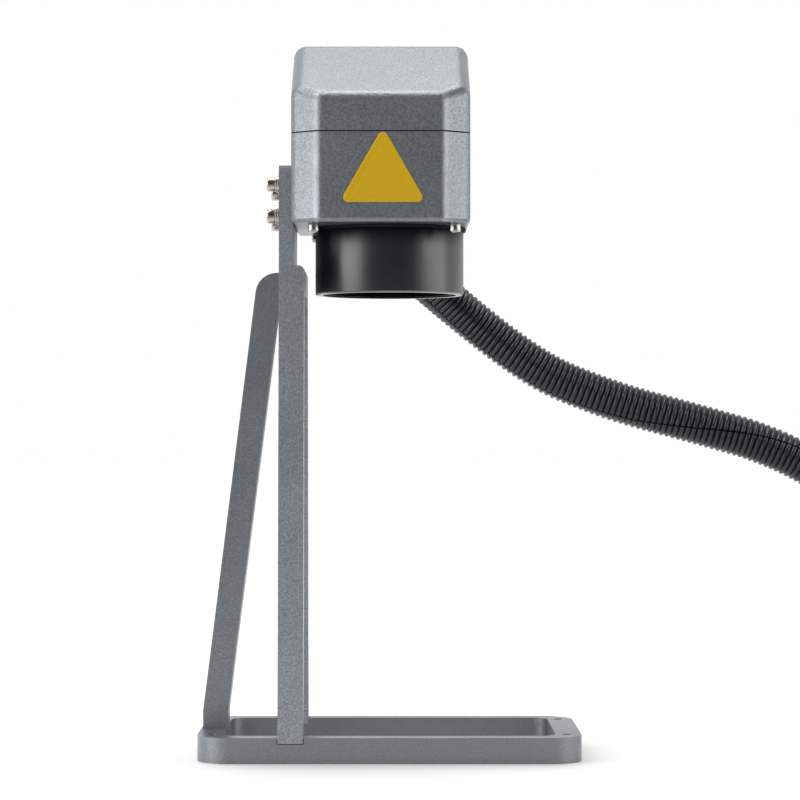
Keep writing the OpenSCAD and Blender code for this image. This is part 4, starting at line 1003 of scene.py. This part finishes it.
def make_stage():
    """A wide pale floor, lifted to white for the camera, keeping the object's shadow and a painted
    shadow near it. Metal and glass see that white too, but for the part well in front of the object."""
    material, tree, shader = new_material("floor_white")
    shader.inputs["Base Color"].default_value = (floor_albedo, floor_albedo, floor_albedo, 1)
    shader.inputs["Roughness"].default_value = 0.9
    path = tree.nodes.new("ShaderNodeLightPath").outputs
    seen = join(tree, "MAXIMUM", path["Is Camera Ray"], path["Is Transmission Ray"])
    behind = spread(tree, coordinates(tree)["Y"], 0.0, 1.0, *mirrored_from)
    shiny = join(tree, "MULTIPLY", path["Is Glossy Ray"], behind)
    apart = tree.nodes.new("ShaderNodeVectorMath")
    apart.operation = "LENGTH"
    place = tree.nodes.new("ShaderNodeTexCoord")
    tree.links.new(place.outputs["Object"], apart.inputs[0])
    far = spread(tree, apart.outputs["Value"], floor_lift, 1.0, *floor_fade)
    # Painted shadow: the closeness of the object, as the share that it hides of what lies behind and
    #     above, cuts the white lift, so the painted shade gathers in front of it
    back = tree.nodes.new("ShaderNodeCombineXYZ")
    for axis, value in zip("XYZ", shade_from):
        back.inputs[axis].default_value = value
    near = tree.nodes.new("ShaderNodeAmbientOcclusion")
    near.inputs["Distance"].default_value = shade_reach
    near.samples = 16
    tree.links.new(back.outputs[0], near.inputs["Normal"])
    open_sky = spread(tree, near.outputs["AO"], 0.0, 1.0, *shade_middle)
    lift = join(tree, "MULTIPLY", join(tree, "MAXIMUM", seen, shiny),
                join(tree, "MULTIPLY", far, open_sky))
    shader.inputs["Emission Color"].default_value = (1, 1, 1, 1)
    tree.links.new(lift, shader.inputs["Emission Strength"])
    r = floor_reach
    mesh = bpy.data.meshes.new("floor")
    mesh.from_pydata([(-r, -r, 0), (r, -r, 0), (r, r, 0), (-r, r, 0)], [], [[0, 1, 2, 3]])
    mesh.materials.append(material)
    floor = bpy.data.objects.new("floor", mesh)
    bpy.context.scene.collection.objects.link(floor)


# What surrounds the object: for diffuse light, and for shiny surfaces in front and behind
world_dim = 0.06
world_front = 0.08
world_back = 0.9


def make_world():
    """White to the camera. Metal and glass see that white behind the object and a dim studio in
    front of it, and diffuse light is an even dim grey."""
    world = bpy.data.worlds.new("studio")
    bpy.context.scene.world = world
    world.use_nodes = True
    tree = world.node_tree
    background = tree.nodes["Background"]
    background.inputs["Color"].default_value = (1, 1, 1, 1)
    place = tree.nodes.new("ShaderNodeTexCoord")
    split = tree.nodes.new("ShaderNodeSeparateXYZ")
    tree.links.new(place.outputs["Generated"], split.inputs[0])
    behind = tree.nodes.new("ShaderNodeMapRange")
    behind.interpolation_type = "SMOOTHSTEP"
    for name, value in (("From Min", -0.1), ("From Max", 0.5), ("To Min", world_front),
                        ("To Max", world_back)):
        behind.inputs[name].default_value = value
    tree.links.new(split.outputs["Y"], behind.inputs["Value"])
    path = tree.nodes.new("ShaderNodeLightPath").outputs
    glossy = tree.nodes.new("ShaderNodeMix")
    glossy.inputs[2].default_value = world_dim
    tree.links.new(path["Is Glossy Ray"], glossy.inputs[0])
    tree.links.new(behind.outputs["Result"], glossy.inputs[3])
    white = tree.nodes.new("ShaderNodeMix")
    white.inputs[3].default_value = 1.0
    tree.links.new(
        join(tree, "MAXIMUM", path["Is Camera Ray"], path["Is Transmission Ray"]),
        white.inputs[0],
    )
    tree.links.new(glossy.outputs[0], white.inputs[2])
    tree.links.new(white.outputs[0], background.inputs["Strength"])


# Point that every lamp looks at, in metres
light_target = (0, 0, 0.25)


def make_light(name, bearing, height, distance, width, tall, power, mirrored=True):
    """A soft box that stands at a bearing from the front, in degrees, and looks at the target. One
    that isn't mirrored only fills the shade."""
    data = bpy.data.lights.new(name, "AREA")
    data.shape = "RECTANGLE"
    data.size, data.size_y = width, tall
    data.energy = power
    lamp = bpy.data.objects.new(name, data)
    turn = math.radians(bearing)
    lamp.location = (
        light_target[0] + distance * math.sin(turn),
        light_target[1] - distance * math.cos(turn),
        height,
    )
    look = np.array(lamp.location) - np.array(light_target)
    flat = math.hypot(look[0], look[1])
    lamp.rotation_euler = (
        math.atan2(flat, look[2]), 0, math.atan2(look[1], look[0]) + math.pi / 2)
    lamp.visible_glossy = mirrored
    bpy.context.scene.collection.objects.link(lamp)


def make_lights():
    make_light("left_box", -65, 0.62, 1.7, 1.3, 1.15, 16)
    make_light("right_box", 74, 0.62, 1.7, 1.4, 1.15, 12.5)
    make_light("front_fill", 0, 0.7, 2.2, 1.6, 1.2, 8.5, mirrored=False)
    make_light("top_box", 180, 1.9, 0.3, 0.9, 0.9, 12.5)
    make_light("upper_left_box", -72, 1.6, 0.9, 0.5, 0.5, 6)


make_plates()
make_painted_gap_shadows()
make_screws()
make_lens()
make_badge()
end_fitting = make_gland()
plain_materials()
make_stage()
make_world()
make_lights()
bpy.context.scene.view_settings.view_transform = "Standard"
